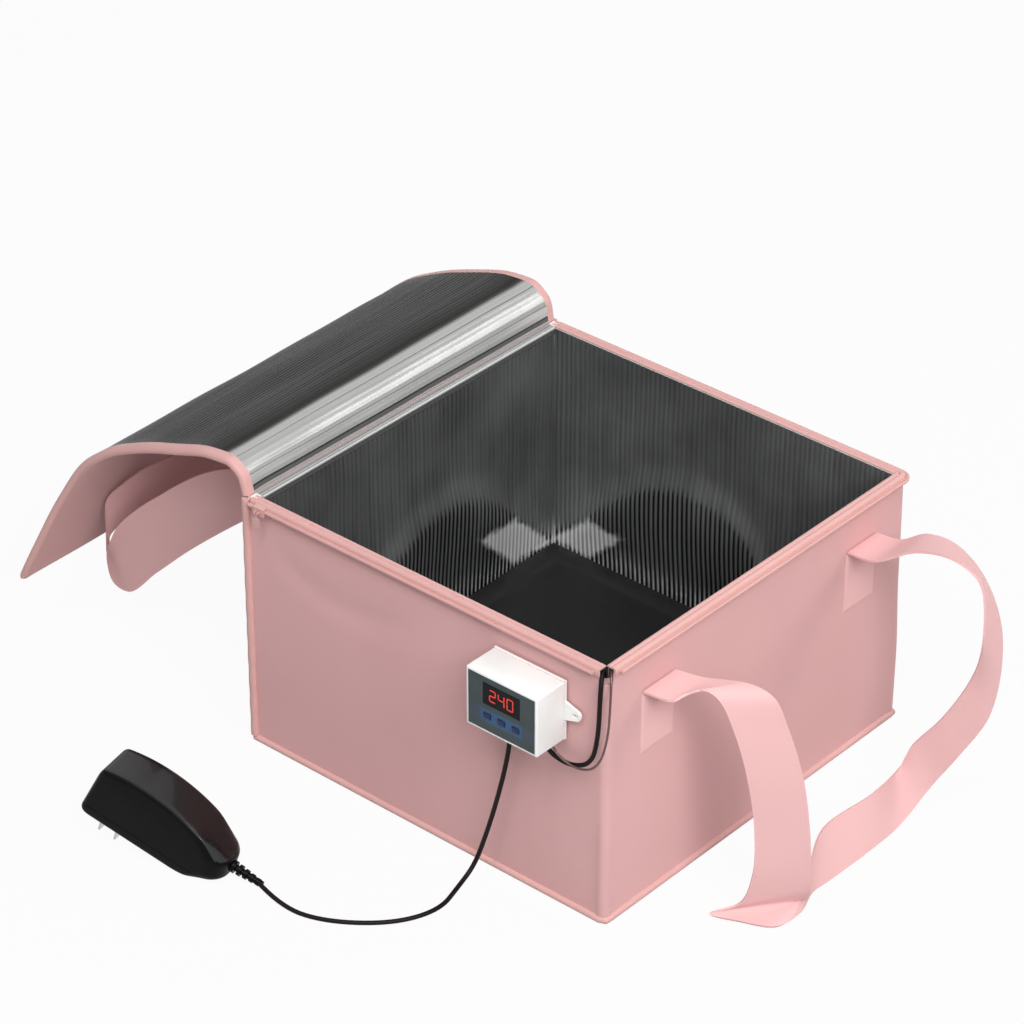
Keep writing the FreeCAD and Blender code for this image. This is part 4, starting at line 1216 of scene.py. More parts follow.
@dataclass
class Lining(Maker):
    """Ribbed foil on the inside of the walls."""

    plan: Plan = Plan()
    low: float = 0.0077
    high: float = 0.1984
    thickness: float = 0.0003
    pitch: float = RIB_PITCH
    rib: float = 0.0004
    set_in: float = 0.0066
    wave: float = 0.0014
    margin: float = 0.0075
    hinge_margin: float = 0.0068
    notch: tuple[float, float] = (0.0048, 0.0058)
    notch_depth: float = 0.0108
    back_buckle: Buckle = Buckle(
        ((0.0, 0.022), (0.028, 0.042), (0.052, 0.065), (0.075, 0.085), (0.098, 0.102), (0.130, 0.113),
         (0.172, 0.107), (0.192, 0.091), (0.206, 0.072), (0.230, 0.040), (0.320, 0.026)), (0.015, 0.070))
    hinge_buckle: Buckle = Buckle(
        ((0.0, 0.022), (0.020, 0.032), (0.043, 0.060), (0.060, 0.077), (0.082, 0.094), (0.110, 0.104),
         (0.140, 0.103), (0.180, 0.086), (0.220, 0.058), (0.320, 0.026)), (0.030, 0.090))
    samples: int = 5
    rows: int = 40

    def build(self) -> None:
        """Makes the lining of the three wrapped walls, and of the hinge wall."""
        self.wrapped()
        self.hinge_side()

    def inwards(self, run: Array, up: Array) -> Array:
        """How far the foil stands in front of the foam, with its ribs and slow waves.

        Args:
            run: distances along the wall.
            up: shares of its height.

        Returns:
            Distances inwards.
        """
        ribs = self.rib * (0.5 - 0.5 * np.cos(2 * np.pi * run / self.pitch))
        slow = (np.sin(run * 52.0 + 5.0 * up + 1.1 * np.sin(7.0 * up)) * 0.35
                + np.sin(run * 95.0 - 9.0 * up) * 0.15 + np.sin(run * 21.0 + 13.0 * up) * 0.3 + 0.4)
        return ribs + self.wave * np.clip(slow, 0, 1) * np.sin(np.pi * np.clip(up, 0, 1)) ** 0.5

    def wrapped(self) -> None:
        """Lines the front, free side and back with one sheet."""
        plan, marks = self.plan, {}
        start, stop = self.margin, plan.length - self.margin

        def place(along: Array, across: Array) -> Array:
            """Points of the foil."""
            run = start + along * (stop - start)
            dip = 1 - ease(np.abs(run - plan.notch), *self.notch)
            up = self.low + across * (self.high - self.low - self.notch_depth * dip)
            marks.update(self.back_buckle.marks(plan.length - run, up))
            swell = self.back_buckle.bulge(plan.length - run, up)
            return plan.at(run, -self.set_in - self.inwards(run, across) - swell, up)

        self.lay("wrap", stop - start, place, marks, ["liner_front", "liner_right", "liner_back"])

    def hinge_side(self) -> None:
        """Lines the hinge wall."""
        half, marks = self.plan.half - self.hinge_margin, {}

        def place(along: Array, across: Array) -> Array:
            """Points of the foil."""
            run, up = along * 2 * half, self.low + across * (self.high - self.low)
            marks.update(self.hinge_buckle.marks(run, up))
            depth = self.set_in + self.inwards(run + 2.0, across) + self.hinge_buckle.bulge(run, up)
            return np.column_stack((depth - self.plan.half, half - run, up))

        self.lay("hinge_side", 2 * half, place, marks, ["liner_left"])

    def lay(self, name: str, length: float, place: Place, marks: dict[str, Array],
            nodes: Sequence[str]) -> None:
        """Makes one sheet of the film.

        Args:
            name: which sheet.
            length: its length along the walls.
            place: gives its points.
            marks: shares that place works out for its points.
            nodes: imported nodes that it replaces.
        """
        columns = round(length / self.pitch) * self.samples
        grid = Grid("lining_" + name, columns, self.rows, place, (length, self.high - self.low))
        self.settle(grid.sheet(self.thickness, 1.0, marks), "wall_foil", Slot.FOIL, nodes)


class Face(IntEnum):
    """Finishes of a lid strip's faces, by their place in its list of materials."""

    FOIL = 0
    TAPE = 1
    CLOTH = 2


@dataclass
class Lid(Maker):
    """Padded lid that drapes over the hinge wall, in strips that bend at the folds."""

    hinge: tuple[float, float] = (-0.156, 0.2003)
    lengths: tuple[float, ...] = (0.017, 0.018, 0.030, 0.056, 0.042, 0.044, 0.1297)
    angles: tuple[float, ...] = (80.0, 38.0, -5.0, -20.0, -27.0, -40.0, -60.0)
    sag: Pairs = (
        (0.0, 0.0), (0.014, 0.0015), (0.033, 0.0038), (0.050, 0.0045), (0.090, 0.0055), (0.138, 0.0040),
        (0.180, 0.0022), (0.225, 0.0010), (0.260, 0.0010), (0.296, 0.0040), (0.340, 0.0070))
    hug: float = 2.0
    flare: float = 0.008
    belly: float = 0.005
    seat: float = 0.0006
    trim: float = 0.0065
    half: float = 0.1587
    edge: float = 0.0074
    thickness: float = 0.006
    pitch: float = RIB_PITCH
    rib: float = 0.0003
    bend_rib: float = 0.00012
    row: float = 0.00072
    girth: float = 0.65
    foil_cells: int = 26
    cloth_cells: int = 20
    edge_points: int = 10
    line_cells: int = 60
    end_round: float = 0.0031
    end_tape: float = 0.005
    sink: float = 0.0004

    def __post_init__(self) -> None:
        """Works out the line of the foil face, rounded at every fold."""
        way = np.radians(np.array(self.angles))
        steps = np.column_stack((-np.cos(way), np.sin(way))) * np.array(self.lengths)[:, None]
        corners = np.array(self.hinge) + np.concatenate((np.zeros((1, 2)), np.cumsum(steps, axis=0)))
        middles = (corners[1:] + corners[:-1]) / 2
        cells = self.line_cells
        share = np.linspace(0, 1, cells, endpoint=False)[:, None]
        line = [corners[0] + (middles[0] - corners[0]) * share]
        for before, corner, after in zip(middles, corners[1:], middles[1:]):
            pull = 2 * self.hug * share * (1 - share)
            weight = (1 - share) ** 2 + pull + share ** 2
            line.append(((1 - share) ** 2 * before + pull * corner + share ** 2 * after) / weight)
        line.append(middles[-1] + (corners[-1] - middles[-1]) * np.linspace(0, 1, cells)[:, None])
        self.line = np.concatenate(line)
        gaps = np.linalg.norm(np.diff(self.line, axis=0), axis=1)
        self.walk = np.concatenate(([0], np.cumsum(gaps)))
        slope = np.gradient(self.line, self.walk, axis=0)
        self.lean = np.arctan2(slope[:, 1], -slope[:, 0])
        self.length = float(self.walk[-1])
        self.cuts = [float(self.walk[cells * (k + 1)]) for k in range(7)]
        self.creases = [float(self.walk[cells * (k + 1) + cells // 2]) for k in range(6)]
        places = np.linspace(-0.02, self.length + 0.02, 801)
        spread = np.interp(places, *zip(*self.sag))
        soft = np.convolve(np.pad(spread, 30, "edge"), np.ones(61) / 61, "valid")
        self.drop = np.interp(self.walk, places, soft)

    def at(self, run: Array, y: Array, lift: Array) -> Array:
        """Gives points of the lid, lower and wider towards the front, its free edge cut back behind.

        Args:
            run: distances from the hinge along the foil.
            y: places across the lid.
            lift: heights over the foil face.

        Returns:
            One row of three coordinates for each.
        """
        lean = np.interp(run, self.walk, self.lean)
        near = np.clip(0.5 - y / (2 * self.half), 0, 1)
        lift = lift - self.seat - np.interp(run, self.walk, self.drop) * near ** 1.2
        free = ease(run, self.length - 0.11, self.length)
        ahead = free * (self.belly * np.exp(-((y + 0.08) / 0.06) ** 2)
                        - self.trim * (1 - ease(near, 0.25, 0.62)))
        x = np.interp(run, self.walk, self.line[:, 0]) + np.sin(lean) * lift - np.cos(lean) * ahead
        z = np.interp(run, self.walk, self.line[:, 1]) + np.cos(lean) * lift + np.sin(lean) * ahead
        return np.column_stack((x, y - self.flare * free * near ** 2, z))

    def section(self) -> tuple[Array, Array, Array]:
        """Draws the lid's cross-section once round, from the near end of the foil face.

        Returns:
            Places across, heights over the foil face, and the finish of each face between them.
        """
        inner = self.half - self.edge
        turn = np.linspace(0, np.pi, self.edge_points)
        centre, wide, tall = self.half - 0.0028, 0.0030, self.thickness / 2 + 0.0002
        top = np.linspace(-inner, inner, self.foil_cells + 1)
        far_y, far_n = centre + np.sin(turn) * wide, -self.thickness / 2 + np.cos(turn) * tall
        back = np.linspace(inner, -inner, self.cloth_cells + 1)
        y = np.concatenate((top, far_y, back, -far_y[::-1], top[:1]))
        under = np.full(len(back), -self.thickness)
        lift = np.concatenate((np.zeros(len(top)), far_n, under, far_n[::-1], [0.0]))
        counts = (self.foil_cells, self.edge_points + 1, self.cloth_cells, self.edge_points + 1)
        return y, lift, np.repeat((Face.FOIL, Face.TAPE, Face.CLOTH, Face.TAPE), counts)

    def strip(self, index: int, start: float, stop: float, last: bool = False) -> Piece:
        """Makes one strip of the lid.

        Args:
            index: its number from the hinge.
            start: run where it begins.
            stop: run where it ends.
            last: whether it ends at the free edge.

        Returns:
            The strip with its three finishes.
        """
        section_y, section_lift, mark = self.section()
        share = np.linspace(0, 1, len(section_y))
        rows = max(4, math.ceil((stop - start) / self.row))

        def place(along: Array, across: Array) -> Array:
            """Points of the strip's skin."""
            run = start + along * (stop - start)
            y, lift = np.interp(across, share, section_y), np.interp(across, share, section_lift)
            cell = np.round(across * (len(section_y) - 1))
            foil = (cell > 0) & (cell < self.foil_cells)
            wave = 0.0004 * np.sin(y * 38.0 + run * 40.0) + 0.0003 * np.sin(y * 71.0 - run * 90.0)
            deep = self.bend_rib + (self.rib - self.bend_rib) * ease(run, 0.040, 0.060)
            groove = deep * (0.5 - 0.5 * np.cos(2 * np.pi * run / self.pitch))
            lift = lift - foil * (groove + self.sink + wave * 0.6)
            if last:
                tail = np.clip((run - self.length + self.end_round) / self.end_round, 0, 1)
                lift = -self.thickness / 2 + (lift + self.thickness / 2) * np.sqrt(1 - 0.97 * tail ** 2)
            return self.at(run, y, lift)

        grid = Grid(f"lid_strip_{index}", rows, len(section_y) - 1, place, (stop - start, self.girth))
        piece = grid.plain()
        self.paint(piece, mark, start, last)
        Bench.weld(piece, cap=last)
        Bench.smooth(piece, 70)
        return piece

    def paint(self, piece: Piece, mark: Array, start: float, last: bool) -> None:
        """Gives each face of a strip its finish, and its own coordinates their run from the hinge.

        Args:
            piece: the strip, still a plain grid.
            mark: finish of each face round the cross-section.
            start: run where the strip begins.
            last: whether it ends at the free edge.
        """
        for name in ("lid_foil", "tape", "cover"):
            piece.data.materials.append(self.finishes[name])
        mesh = piece.data
        flat = np.empty(len(mesh.loops) * 2)
        mesh.uv_layers.active.data.foreach_get("uv", flat)
        flat = flat.reshape(-1, 2)
        middle = flat.reshape(-1, 4, 2).mean(axis=1)
        cell = np.clip((middle[:, 1] / self.girth * len(mark)).astype(int), 0, len(mark) - 1)
        kind = mark[cell].astype(np.int32)
        if last:
            kind[(middle[:, 0] + start) > self.length - self.end_tape] = Face.TAPE
        mesh.polygons.foreach_set("material_index", kind)
        flat[:, 0] += start
        mesh.uv_layers.active.data.foreach_set("uv", flat.astype(np.float32).ravel())

    def spot(self, run: float) -> Point:
        """Point of the foil face on the lid's middle line."""
        return tuple(self.at(np.array([run]), np.zeros(1), np.zeros(1))[0])

    def build(self) -> None:
        """Makes the strips, the first on the lid's first body, the last on its seventh, those between on no
        body, then the hinge cloth and fold.
        """
        self.settle(self.strip(0, 0.0004, self.cuts[0]), "cover", Slot.COVER, body="lid_1")
        for index, fold in enumerate(self.creases, 1):
            low, high = self.cuts[index - 1], self.cuts[index]
            piece = self.strip(index, low, high)
            self.settle(piece, "cover", Slot.COVER, [f"lid_cover_{index}", f"lid_liner_{index}"], "")
            reach = 0.92 * min(fold - low, high - fold, 0.02)
            self.spot(fold - reach)
            self.spot(fold + reach)
            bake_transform(piece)
        final = self.strip(7, self.cuts[6], self.length, True)
        self.settle(final, "cover", Slot.COVER, ["lid_cover_7", "lid_liner_7"], "lid_7")
        self.hinge_cloth()
        self.hinge_fold()

    def hinge_cloth(self) -> None:
        """Makes the cloth that joins the hinge wall to the lid."""
        low, wide, tall = 0.1900, 0.3110, 0.0185

        def place(along: Array, across: Array) -> Array:
            """Points of the flap, from the wall up to the back of the lid."""
            up = low + across * tall
            out = -0.1588 - 0.0042 * ease(up, 0.1935, 0.2030) - 0.0008 * ease(up, 0.2030, 0.2085)
            return np.column_stack((out, wide / 2 - along * wide, up))

        piece = Grid("lid_hinge_cloth", 60, 16, place, (wide, tall)).sheet(0.0006)
        self.settle(piece, "cover", Slot.COVER, body="")
        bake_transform(piece)

    def hinge_fold(self) -> None:
        """Makes the strip of foil folded over the top of the hinge wall, with its row of stitches."""
        profile = np.array(((-0.1497, 0.1946), (-0.1496, 0.1962), (-0.1498, 0.1985), (-0.1505, 0.1998),
                            (-0.1515, 0.2002), (-0.1540, 0.2002), (-0.1566, 0.2001)))
        walk = np.concatenate(([0], np.cumsum(np.linalg.norm(np.diff(profile, axis=0), axis=1))))
        wide = 0.3006

        def place(along: Array, across: Array) -> Array:
            """Points of the fold, dimpled at every stitch."""
            x, z = (np.interp(along * walk[-1], walk, profile[:, i]) for i in (0, 1))
            y = wide / 2 - across * wide
            row = np.exp(-((z - 0.1966) / 0.0007) ** 2)
            dimple = 0.0004 * row * (np.sin(y * 2 * np.pi / STITCH_PITCH) > 0)
            return np.column_stack((x - dimple * (along < 0.6), y, z))

        piece = Grid("hinge_foil_fold", 26, 500, place, (float(walk[-1]), wide)).plain()
        Bench.smooth(piece, 50)
        self.settle(piece, "fold_foil", Slot.FOIL)


@dataclass
class Strap(Maker):
    """One carry strap as it lies, and the ends sewn to its wall."""

    name: str
    side: int
    loop: tuple[tuple[Point, Point], ...]
    columns: int
    wall: float = 157.5
    root: Point = (159.0, 91.0, 168.0)
    width: float = 33.0
    thickness: float = 0.0016

    def stations(self) -> Array:
        """Edge points along the strap.

        Returns:
            An array of stations, two edges and three coordinates, in metres.
        """
        x, inner, z = self.root
        pairs = [((x, -inner - self.width, z), (x, -inner, z))]
        pairs += [tuple((self.wall + p[0], p[1], p[2]) for p in pair) for pair in self.loop]
        pairs.append(((x, inner + self.width, z), (x, inner, z)))
        return np.array(pairs) * (self.side * MM, MM, MM)

    def smooth_line(self, share: Array) -> Array:
        """Both edges of the strap, rounded through its stations.

        Args:
            share: places along it, from 0 to 1.

        Returns:
            For each place, two edges of three coordinates.
        """
        knots = self.stations()
        gaps = np.linalg.norm(np.diff(knots.mean(axis=1), axis=0), axis=1)
        marks = np.concatenate(([0], np.cumsum(np.sqrt(gaps))))
        marks /= marks[-1]
        cell = np.clip(np.searchsorted(marks, share, "right") - 1, 0, len(marks) - 2)
        padded = np.concatenate((2 * knots[:1] - knots[1:2], knots, 2 * knots[-1:] - knots[-2:-1]))
        times = np.concatenate(([2 * marks[0] - marks[1]], marks, [2 * marks[-1] - marks[-2]]))
        p = [padded[cell + i] for i in range(4)]
        t = [times[cell + i][:, None, None] for i in range(4)]
        now = share[:, None, None]

        def between(i: int, j: int, first: Array, second: Array) -> Array:
            """Points between two others, by the times of two stations."""
            return (t[j] - now) / (t[j] - t[i]) * first + (now - t[i]) / (t[j] - t[i]) * second

        a = [between(i, i + 1, p[i], p[i + 1]) for i in range(3)]
        b = [between(i, i + 2, a[i], a[i + 1]) for i in range(2)]
        return between(1, 2, b[0], b[1])

    def build(self) -> None:
        """Makes the strap and its sewn ends."""
        line = self.smooth_line(np.linspace(0, 1, 400)).mean(axis=1)
        length = float(np.linalg.norm(np.diff(line, axis=0), axis=1).sum())

        def place(along: Array, across: Array) -> Array:
            """Points of the ribbon."""
            edges = self.smooth_line(along)
            return edges[:, 0] * (1 - across)[:, None] + edges[:, 1] * across[:, None]

        title = f"strap_{self.name}"
        grid = Grid(title + "_ribbon", self.columns, 10, place, (length, self.width * MM))
        self.settle(grid.sheet(self.thickness, 0.0), "strap", Slot.STRAP, [title], title)
        log.info("strap %s is %.3f m long", self.name, length)
        for number, end in enumerate((-1, 1)):
            self.tail(number, end)

    def tail(self, number: int, end: int) -> None:
        """Makes one sewn end, flat on the wall.

        Args:
            number: which end.
            end: -1 towards the front and 1 towards the back.
        """
        inner, top, long, wide = self.root[1] * MM, 0.1668, 0.0480, self.width * MM
        edge, rise = 0.1577, 0.0014

        def place(along: Array, across: Array) -> Array:
            """Points of the patch, pressed down along its edges."""
            rim = np.minimum(np.minimum(along, 1 - along) * long, np.minimum(across, 1 - across) * wide)
            out = edge + rise * ease(rim, -0.0008, 0.0022)
            return np.column_stack((self.side * out, end * (inner + across * wide), top - along * long))

        grid = Grid(f"strap_{self.name}_tail_{number}", 40, 32, place, (long, wide))
        piece = grid.sheet(0.0004, -1.0 if end * self.side > 0 else 1.0)
        self.settle(piece, "strap", Slot.STRAP, [] if number else [f"strap_tails_{self.name}"])


RIGHT_LOOP = (
    ((22, -120, 168.5), (22, -87, 169)), ((26, -113, 171), (38, -83, 172)), ((32, -104, 173), (54, -79, 174)),
    ((44, -100, 169), (70, -76, 170)), ((54, -96, 147), (80, -72, 147)),
    ((63, -92, 112), (90, -68, 112)), ((68, -89, 71), (95, -65, 71)),
    ((68.5, -90, 35), (95.5, -63, 41.5)), ((61, -94, 10.6), (94.5, -61, 21.5)),
    ((47.5, -107, 3), (91.5, -59, 12.3)), ((66.5, -98.5, 1.5), (89.7, -57, 9.4)),
    ((87, -88, 1.5), (87.8, -54, 10)), ((90, -66, 1.5), (84, -47, 13.8)),
    ((83, -44, 1.5), (79, -40, 23)), ((83.5, -26, 1.5), (70, -17, 32)),
    ((84, 24, 1.5), (71, 38, 32)), ((82, 58, 2), (68, 70, 33)),
    ((85, 84, 18), (74, 76, 52)), ((98, 97, 44), (90, 86, 77)),
    ((112, 109, 77), (104, 95, 109)), ((113, 117, 120), (114, 92, 145)),
    ((104, 122, 150), (107, 99, 177)), ((88, 125, 171), (98, 99, 189)),
    ((66, 126, 184), (78, 98, 194)), ((42, 126, 183), (52, 96, 188)),
    ((22, 123, 171.5), (25, 90, 172)))
LEFT_LOOP = (
    ((20, -119, 160), (20, -97, 181)), ((52, -106, 136), (66, -116, 175)),
    ((109, -106, 87), (131, -122, 126)), ((145, -108, 52), (167, -122, 90)),
    ((175, -109, 23), (187, -115, 61)), ((192, -108, 24), (196, -107, 60)),
    ((199, -106, 40), (197, -106, 72)), ((193.5, -106, 63), (193.5, -108, 94)),
    ((184.5, -97, 76), (185, -101, 106)), ((173.5, -82, 88), (174, -87, 118)),
    ((151.5, -30, 99), (152, -35, 130)), ((102, 40, 124), (98, 36, 157)),
    ((46, 96, 145), (43, 86, 177)), ((20, 121, 161), (20, 95, 180)))


@dataclass
class HeatingPad(Maker):
    """Black pad with a sewn hem, a raised middle and the gland of its lead."""

    half: float = 0.1485
    floor: float = 0.0077
    hem_width: float = 0.014
    hem_height: float = 0.0106
    curl: float = 0.0014
    height: float = 0.0102
    cells: int = 150

    def build(self) -> None:
        """Makes the pad and its gland."""
        def place(along: Array, across: Array) -> Array:
            """Points of the pad's top, rolled down to the floor at its edge."""
            x, y = (along * 2 - 1) * self.half, (across * 2 - 1) * self.half
            rim = self.half - np.maximum(np.abs(x), np.abs(y))
            roll = np.sqrt(np.clip(1 - (1 - np.clip(rim / 0.0028, 0, 1)) ** 2, 0, 1))
            rise = ease(rim, self.hem_width - 0.0005, self.hem_width + 0.0045)
            crown = 0.0008 * np.cos(x / self.half * 1.4) * np.cos(y / self.half * 1.4)
            groove = 0.0011 * np.exp(-((rim - self.hem_width + 0.0008) / 0.0011) ** 2)
            crease = 0.0003 * np.sin(x * 61.0 + 2.0 * np.sin(y * 37.0)) * np.sin(y * 47.0 + 1.0)
            pucker = 0.0004 * np.sin((x + y) * 420.0) * np.exp(-((rim - self.hem_width * 0.55) / 0.005) ** 2)
            hem = self.hem_height + self.curl * ease((y - x) / (2 * self.half), -0.1, 0.9)
            top = hem + (self.height - 0.0008 - hem) * rise + crown * rise
            lift = (top - groove + (crease * rise + pucker) * np.clip(rim / 0.006, 0, 1)) * roll
            return np.column_stack((x, y, self.floor + lift))

        pad = Grid("heating_pad", self.cells, self.cells, place, (2 * self.half, 2 * self.half)).skin(50)
        self.settle(pad, "pad", Slot.PAD, ["pad_cover"])
        gland = Bench.block("pad_gland", (-0.007, -0.004, 0.0), (0.007, 0.004, 0.005), 0.0012)
        turn = Matrix.Rotation(-math.pi / 4, 4, "Z")
        gland.data.transform(Matrix.Translation((0.118, -0.118, 0.0178)) @ turn)
        self.settle(gland, "black", Slot.PAD)


@dataclass
class Thermostat(Maker):
    """White case with a dark panel, a lit display and three buttons."""

    centre: tuple[float, float] = (0.0955, 0.158)
    size: tuple[float, float] = (0.060, 0.045)
    front: float = -0.1885
    back: float = -0.1615
    wall: float = 0.0018
    bevel: float = 0.0011
    panel: float = 0.0015
    button_pitch: float = 0.012
    button_z: float = 0.149
    button: tuple[float, float] = (0.006, 0.004)
    proud: float = 0.0009
    digits: str = "240"
    digit: tuple[float, float] = (0.0048, 0.0084)
    digit_pitch: float = 0.0074
    bar: float = 0.0010
    bar_gap: float = 0.0003
    window_z: float = 0.166

    def build(self) -> None:
        """Makes the case, buttons and lit digits."""
        self.case()
        self.buttons()
        self.bars()

    def case(self) -> None:
        """Makes the open fronted case from one block."""
        x, z = self.centre
        wide, tall = self.size[0] / 2, self.size[1] / 2
        piece = Bench.block("thermostat_housing", (x - wide, self.front, z - tall),
                            (x + wide, self.back, z + tall), self.bevel, 4)
        bpy.ops.object.mode_set(mode="EDIT")
        bpy.ops.mesh.select_all(action="DESELECT")
        bpy.ops.object.mode_set(mode="OBJECT")
        for face in piece.data.polygons:
            face.select = face.normal.y < -0.99 and face.area > 1e-4
        bpy.ops.object.mode_set(mode="EDIT")
        bpy.ops.mesh.select_mode(type="FACE")
        bpy.ops.mesh.inset(thickness=self.wall - self.bevel, depth=0.0)
        bpy.ops.mesh.extrude_region_move(TRANSFORM_OT_translate={"value": (0, self.panel + 0.0008, 0)})
        bpy.ops.object.mode_set(mode="OBJECT")
        Bench.smooth(piece, 35)
        self.settle(piece, "case", Slot.WHITE_CASE, ["thermostat_case"])

    def buttons(self) -> None:
        """Makes the three rounded caps."""
        wide, tall = self.button[0] / 2, self.button[1] / 2
        for step, name in ((-1, "button_set"), (0, "button_up"), (1, "button_down")):
            x = self.centre[0] + step * self.button_pitch
            cap = Bench.block(name + "_cap", (x - wide, self.front - self.proud, self.button_z - tall),
                              (x + wide, self.front + self.panel, self.button_z + tall), 0.0006)
            self.settle(cap, "button", Slot.BUTTON, [name], name)

    def bars(self) -> None:
        """Makes the lit bars of the three digits as one piece."""
        lit = {"2": "abged", "4": "fgbc", "0": "abcdef"}
        wide, tall = self.digit[0] / 2, self.digit[1] / 2
        spots = {"a": (0, tall, 0), "g": (0, 0, 0), "d": (0, -tall, 0), "f": (-wide, tall / 2, 1),
                 "b": (wide, tall / 2, 1), "e": (-wide, -tall / 2, 1), "c": (wide, -tall / 2, 1)}
        made = []
        for place, figure in enumerate(self.digits):
            middle = self.centre[0] + (place - 1) * self.digit_pitch
            for letter in lit[figure]:
                shift, rise, upright = spots[letter]
                long = (tall if upright else 2 * wide) - self.bar_gap
                half = (self.bar / 2, long / 2) if upright else (long / 2, self.bar / 2)
                x, z = middle + shift, self.window_z + rise
                made.append(Bench.block("bar", (x - half[0], self.front - 0.0003, z - half[1]),
                                        (x + half[0], self.front + 0.0001, z + half[1]), 0.00018, 1))
        Bench.clear()
        for bar in made:
            bar.select_set(True)
        bpy.context.view_layer.objects.active = made[0]
        bpy.ops.object.join()
        piece = bpy.context.object
        piece.name = piece.data.name = "display_digits"
        self.settle(piece, "digits", Slot.DISPLAY)


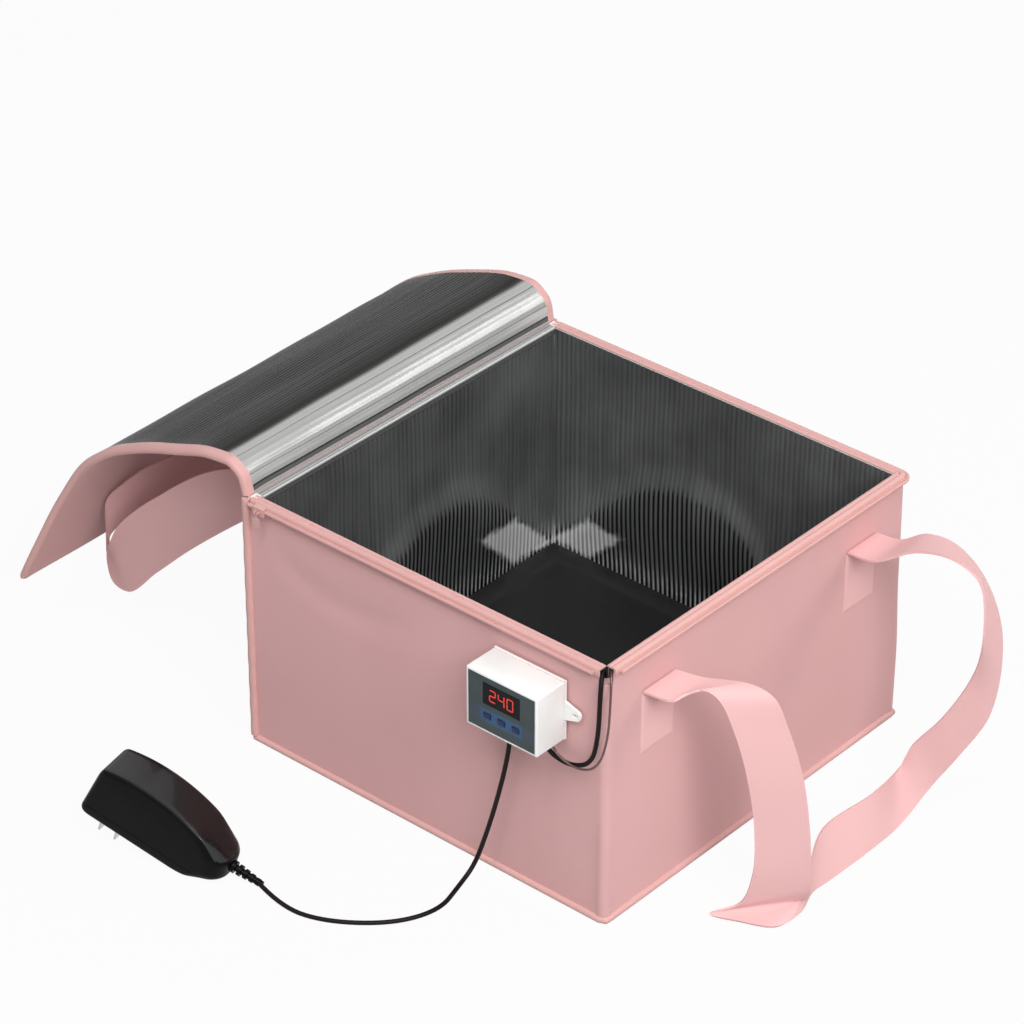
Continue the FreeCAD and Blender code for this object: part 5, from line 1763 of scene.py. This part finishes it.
@dataclass
class Adapter(Maker):
    """Black wall adapter lying on its blades and its cord end."""

    thickness: float = 0.032
    length: float = 0.112
    flat: float = 0.084
    nose_round: float = 0.013
    edge: float = 0.0036
    seam: float = 0.009
    gap: float = 0.00018
    gloss_edge: float = 0.0018
    gloss_low: float = 0.0285
    yaw: float = 12.0
    pitch: float = 18.0
    corner: Point = (-0.088, -0.3045, 0.0006)

    @property
    def frame(self) -> Matrix:
        """Placement of the adapter's own frame."""
        yaw, pitch = math.radians(self.yaw), math.radians(self.pitch)
        turn = Matrix.Rotation(yaw, 4, "Z") @ Matrix.Rotation(pitch, 4, "Y")
        return Matrix.Translation(Vector(self.corner) - turn @ Vector((self.flat, 0, 0))) @ turn

    def outline(self) -> Array:
        """Side view of the housing with rounded corners.

        Returns:
            Points of length and height, anticlockwise, closed on themselves.
        """
        start, crown, end = np.array(((0.112, 0.0275), (0.042, 0.0505), (0.008, 0.045)))
        row = 2 * np.array((crown - start, end - start))
        hub = np.linalg.solve(row, np.array((crown @ crown - start @ start, end @ end - start @ start)))
        radius = np.linalg.norm(start - hub)
        sweep = np.linspace(math.atan2(*(start - hub)[::-1]), math.atan2(*(end - hub)[::-1]), 15)
        arch = [tuple(hub + radius * np.array((math.cos(a), math.sin(a)))) for a in sweep]
        sole = [(0.0, 0.0), (0.020, 0.0), (0.042, 0.0), (0.064, 0.0), (self.flat, 0.0)]
        nose = [(0.098, 0.0055), (self.length, 0.011), (self.length, 0.020)]
        points = np.array(sole + nose + arch + [(0.0053, 0.030), (0.0027, 0.015)])
        for _ in range(3):
            after = np.roll(points, -1, axis=0)
            points = np.stack((0.75 * points + 0.25 * after, 0.25 * points + 0.75 * after), 1).reshape(-1, 2)
        return points

    def body(self, name: str) -> Piece:
        """Makes the whole housing, soft at its edges and round at its nose.

        Args:
            name: name of the piece.

        Returns:
            The closed housing in the adapter's own frame.
        """
        rim = self.outline()
        rim = np.concatenate((rim, rim[:1]))
        way = np.roll(rim[:-1], -1, axis=0) - np.roll(rim[:-1], 1, axis=0)
        way /= np.linalg.norm(way, axis=1)[:, None]
        inward = np.column_stack((-way[:, 1], way[:, 0]))
        inward = np.concatenate((inward, inward[:1]))
        turn = np.linspace(0, np.pi / 2, 8)
        near_d, near_in = self.edge * (1 - np.sin(turn)), self.edge * (1 - np.cos(turn))
        middle = np.linspace(self.edge, self.thickness - self.edge, 14)[1:-1]
        depth = np.concatenate((near_d[::-1], middle, self.thickness - near_d))
        inset = np.concatenate((near_in[::-1], np.zeros(len(middle)), near_in))
        share_round, share_deep = np.linspace(0, 1, len(rim)), np.linspace(0, 1, len(depth))

        def place(along: Array, across: Array) -> Array:
            """Points of the housing's skin."""
            spot = np.column_stack([np.interp(along, share_round, rim[:, i]) for i in (0, 1)])
            push = np.column_stack([np.interp(along, share_round, inward[:, i]) for i in (0, 1)])
            d, pull = np.interp(across, share_deep, depth), np.interp(across, share_deep, inset)
            spot = spot + push * pull[:, None]
            side = np.minimum(d, self.thickness - d)
            short = np.clip(self.nose_round - side, 0, None)
            gone = self.nose_round - np.sqrt(np.clip(self.nose_round ** 2 - short ** 2, 0, None))
            nose = ease(spot[:, 0], self.length - 0.03, self.length)
            return np.column_stack((spot[:, 0] - gone * nose, d, spot[:, 1]))

        piece = Grid(name, len(rim) - 1, len(depth) - 1, place, (0.3, 0.05)).plain()
        Bench.weld(piece)
        return piece

    def half(self, name: str, upper: bool, node: str) -> None:
        """Cuts one half of the housing at the seam.

        Args:
            name: name of the piece.
            upper: whether the part above the seam is kept.
            node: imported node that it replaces.
        """
        piece = self.body(name)
        Bench.pick(piece)
        level = self.seam + (self.gap if upper else -self.gap)
        bpy.ops.object.mode_set(mode="EDIT")
        bpy.ops.mesh.select_all(action="SELECT")
        bpy.ops.mesh.bisect(plane_co=(0, 0, level), plane_no=(0, 0, 1), use_fill=True, clear_inner=upper,
                            clear_outer=not upper)
        bpy.ops.object.mode_set(mode="OBJECT")
        for finish in ("black", "gloss"):
            piece.data.materials.append(self.finishes[finish])
        middle = self.thickness / 2
        for face in piece.data.polygons:
            inside = abs(face.center.y - middle) < middle - self.gloss_edge and face.center.z > self.gloss_low
            face.material_index = int(upper and inside and face.normal.z > 0 and face.normal.x > -0.6)
        piece.data.transform(self.frame)
        Bench.smooth(piece, 40)
        self.settle(piece, "black", Slot.BLACK_PLASTIC, [node])

    def build(self) -> list[str]:
        """Makes the two halves and the raised plug pad.

        Returns:
            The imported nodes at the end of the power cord.
        """
        self.half("adapter_upper_shell", True, "adapter_top")
        self.half("adapter_lower_shell", False, "adapter_base")
        middle = self.thickness / 2
        pad = Bench.block("adapter_plug_pad", (0.009, middle - 0.011, -0.0025),
                          (0.032, middle + 0.011, 0.001), 0.0008)
        pad.data.transform(self.frame)
        self.settle(pad, "black", Slot.BLACK_PLASTIC)
        return ["adapter_blades", "adapter_strain_relief"]


def dress_nodes(finishes: Finishes) -> None:
    """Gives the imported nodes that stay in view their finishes.

    Args:
        finishes: the object's finishes.
    """
    wear = {
        "cover": ("base_cover", "corner_foam_front"),
        "foam": ("front_foam", "right_foam", "back_foam", "left_foam", "base_foam", "corner_foam_back"),
        "floor_foil": ("liner_base",), "heater": ("pad_heater",), "steel": ("probe_tip",),
        "case": ("thermostat_back",), "panel": ("thermostat_panel",),
        "window": ("display_window", "display_module"),
        "board": ("circuit_board",), "relay": ("relay",), "grip": ("grip_pad",), "blade": ("adapter_blades",),
        "black": ("adapter_strain_relief",), "zip_metal": ("zip_slider", "zip_pull"),
    }
    for finish, names in wear.items():
        for name in names:
            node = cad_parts[name]
            if not node.material_slots:
                node.data.materials.append(finishes[finish])
            for slot in node.material_slots:
                slot.material = finishes[finish]
            log.info("%s keeps its packed shape", name)


def main() -> None:
    """Builds the studio and every piece in order."""
    logging.basicConfig(level=logging.INFO, format="%(message)s")
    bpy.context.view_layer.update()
    Studio().build()
    finishes = Finishes()
    Wiring(finishes).build(Adapter(finishes).build())
    for maker in (Shell, Lining, Lid):
        maker(finishes).build()
    Strap(finishes, "right", 1, RIGHT_LOOP, 260).build()
    Strap(finishes, "left", -1, LEFT_LOOP, 220).build()
    HeatingPad(finishes).build()
    Thermostat(finishes).build()
    dress_nodes(finishes)


if __name__ == "__main__":
    main()
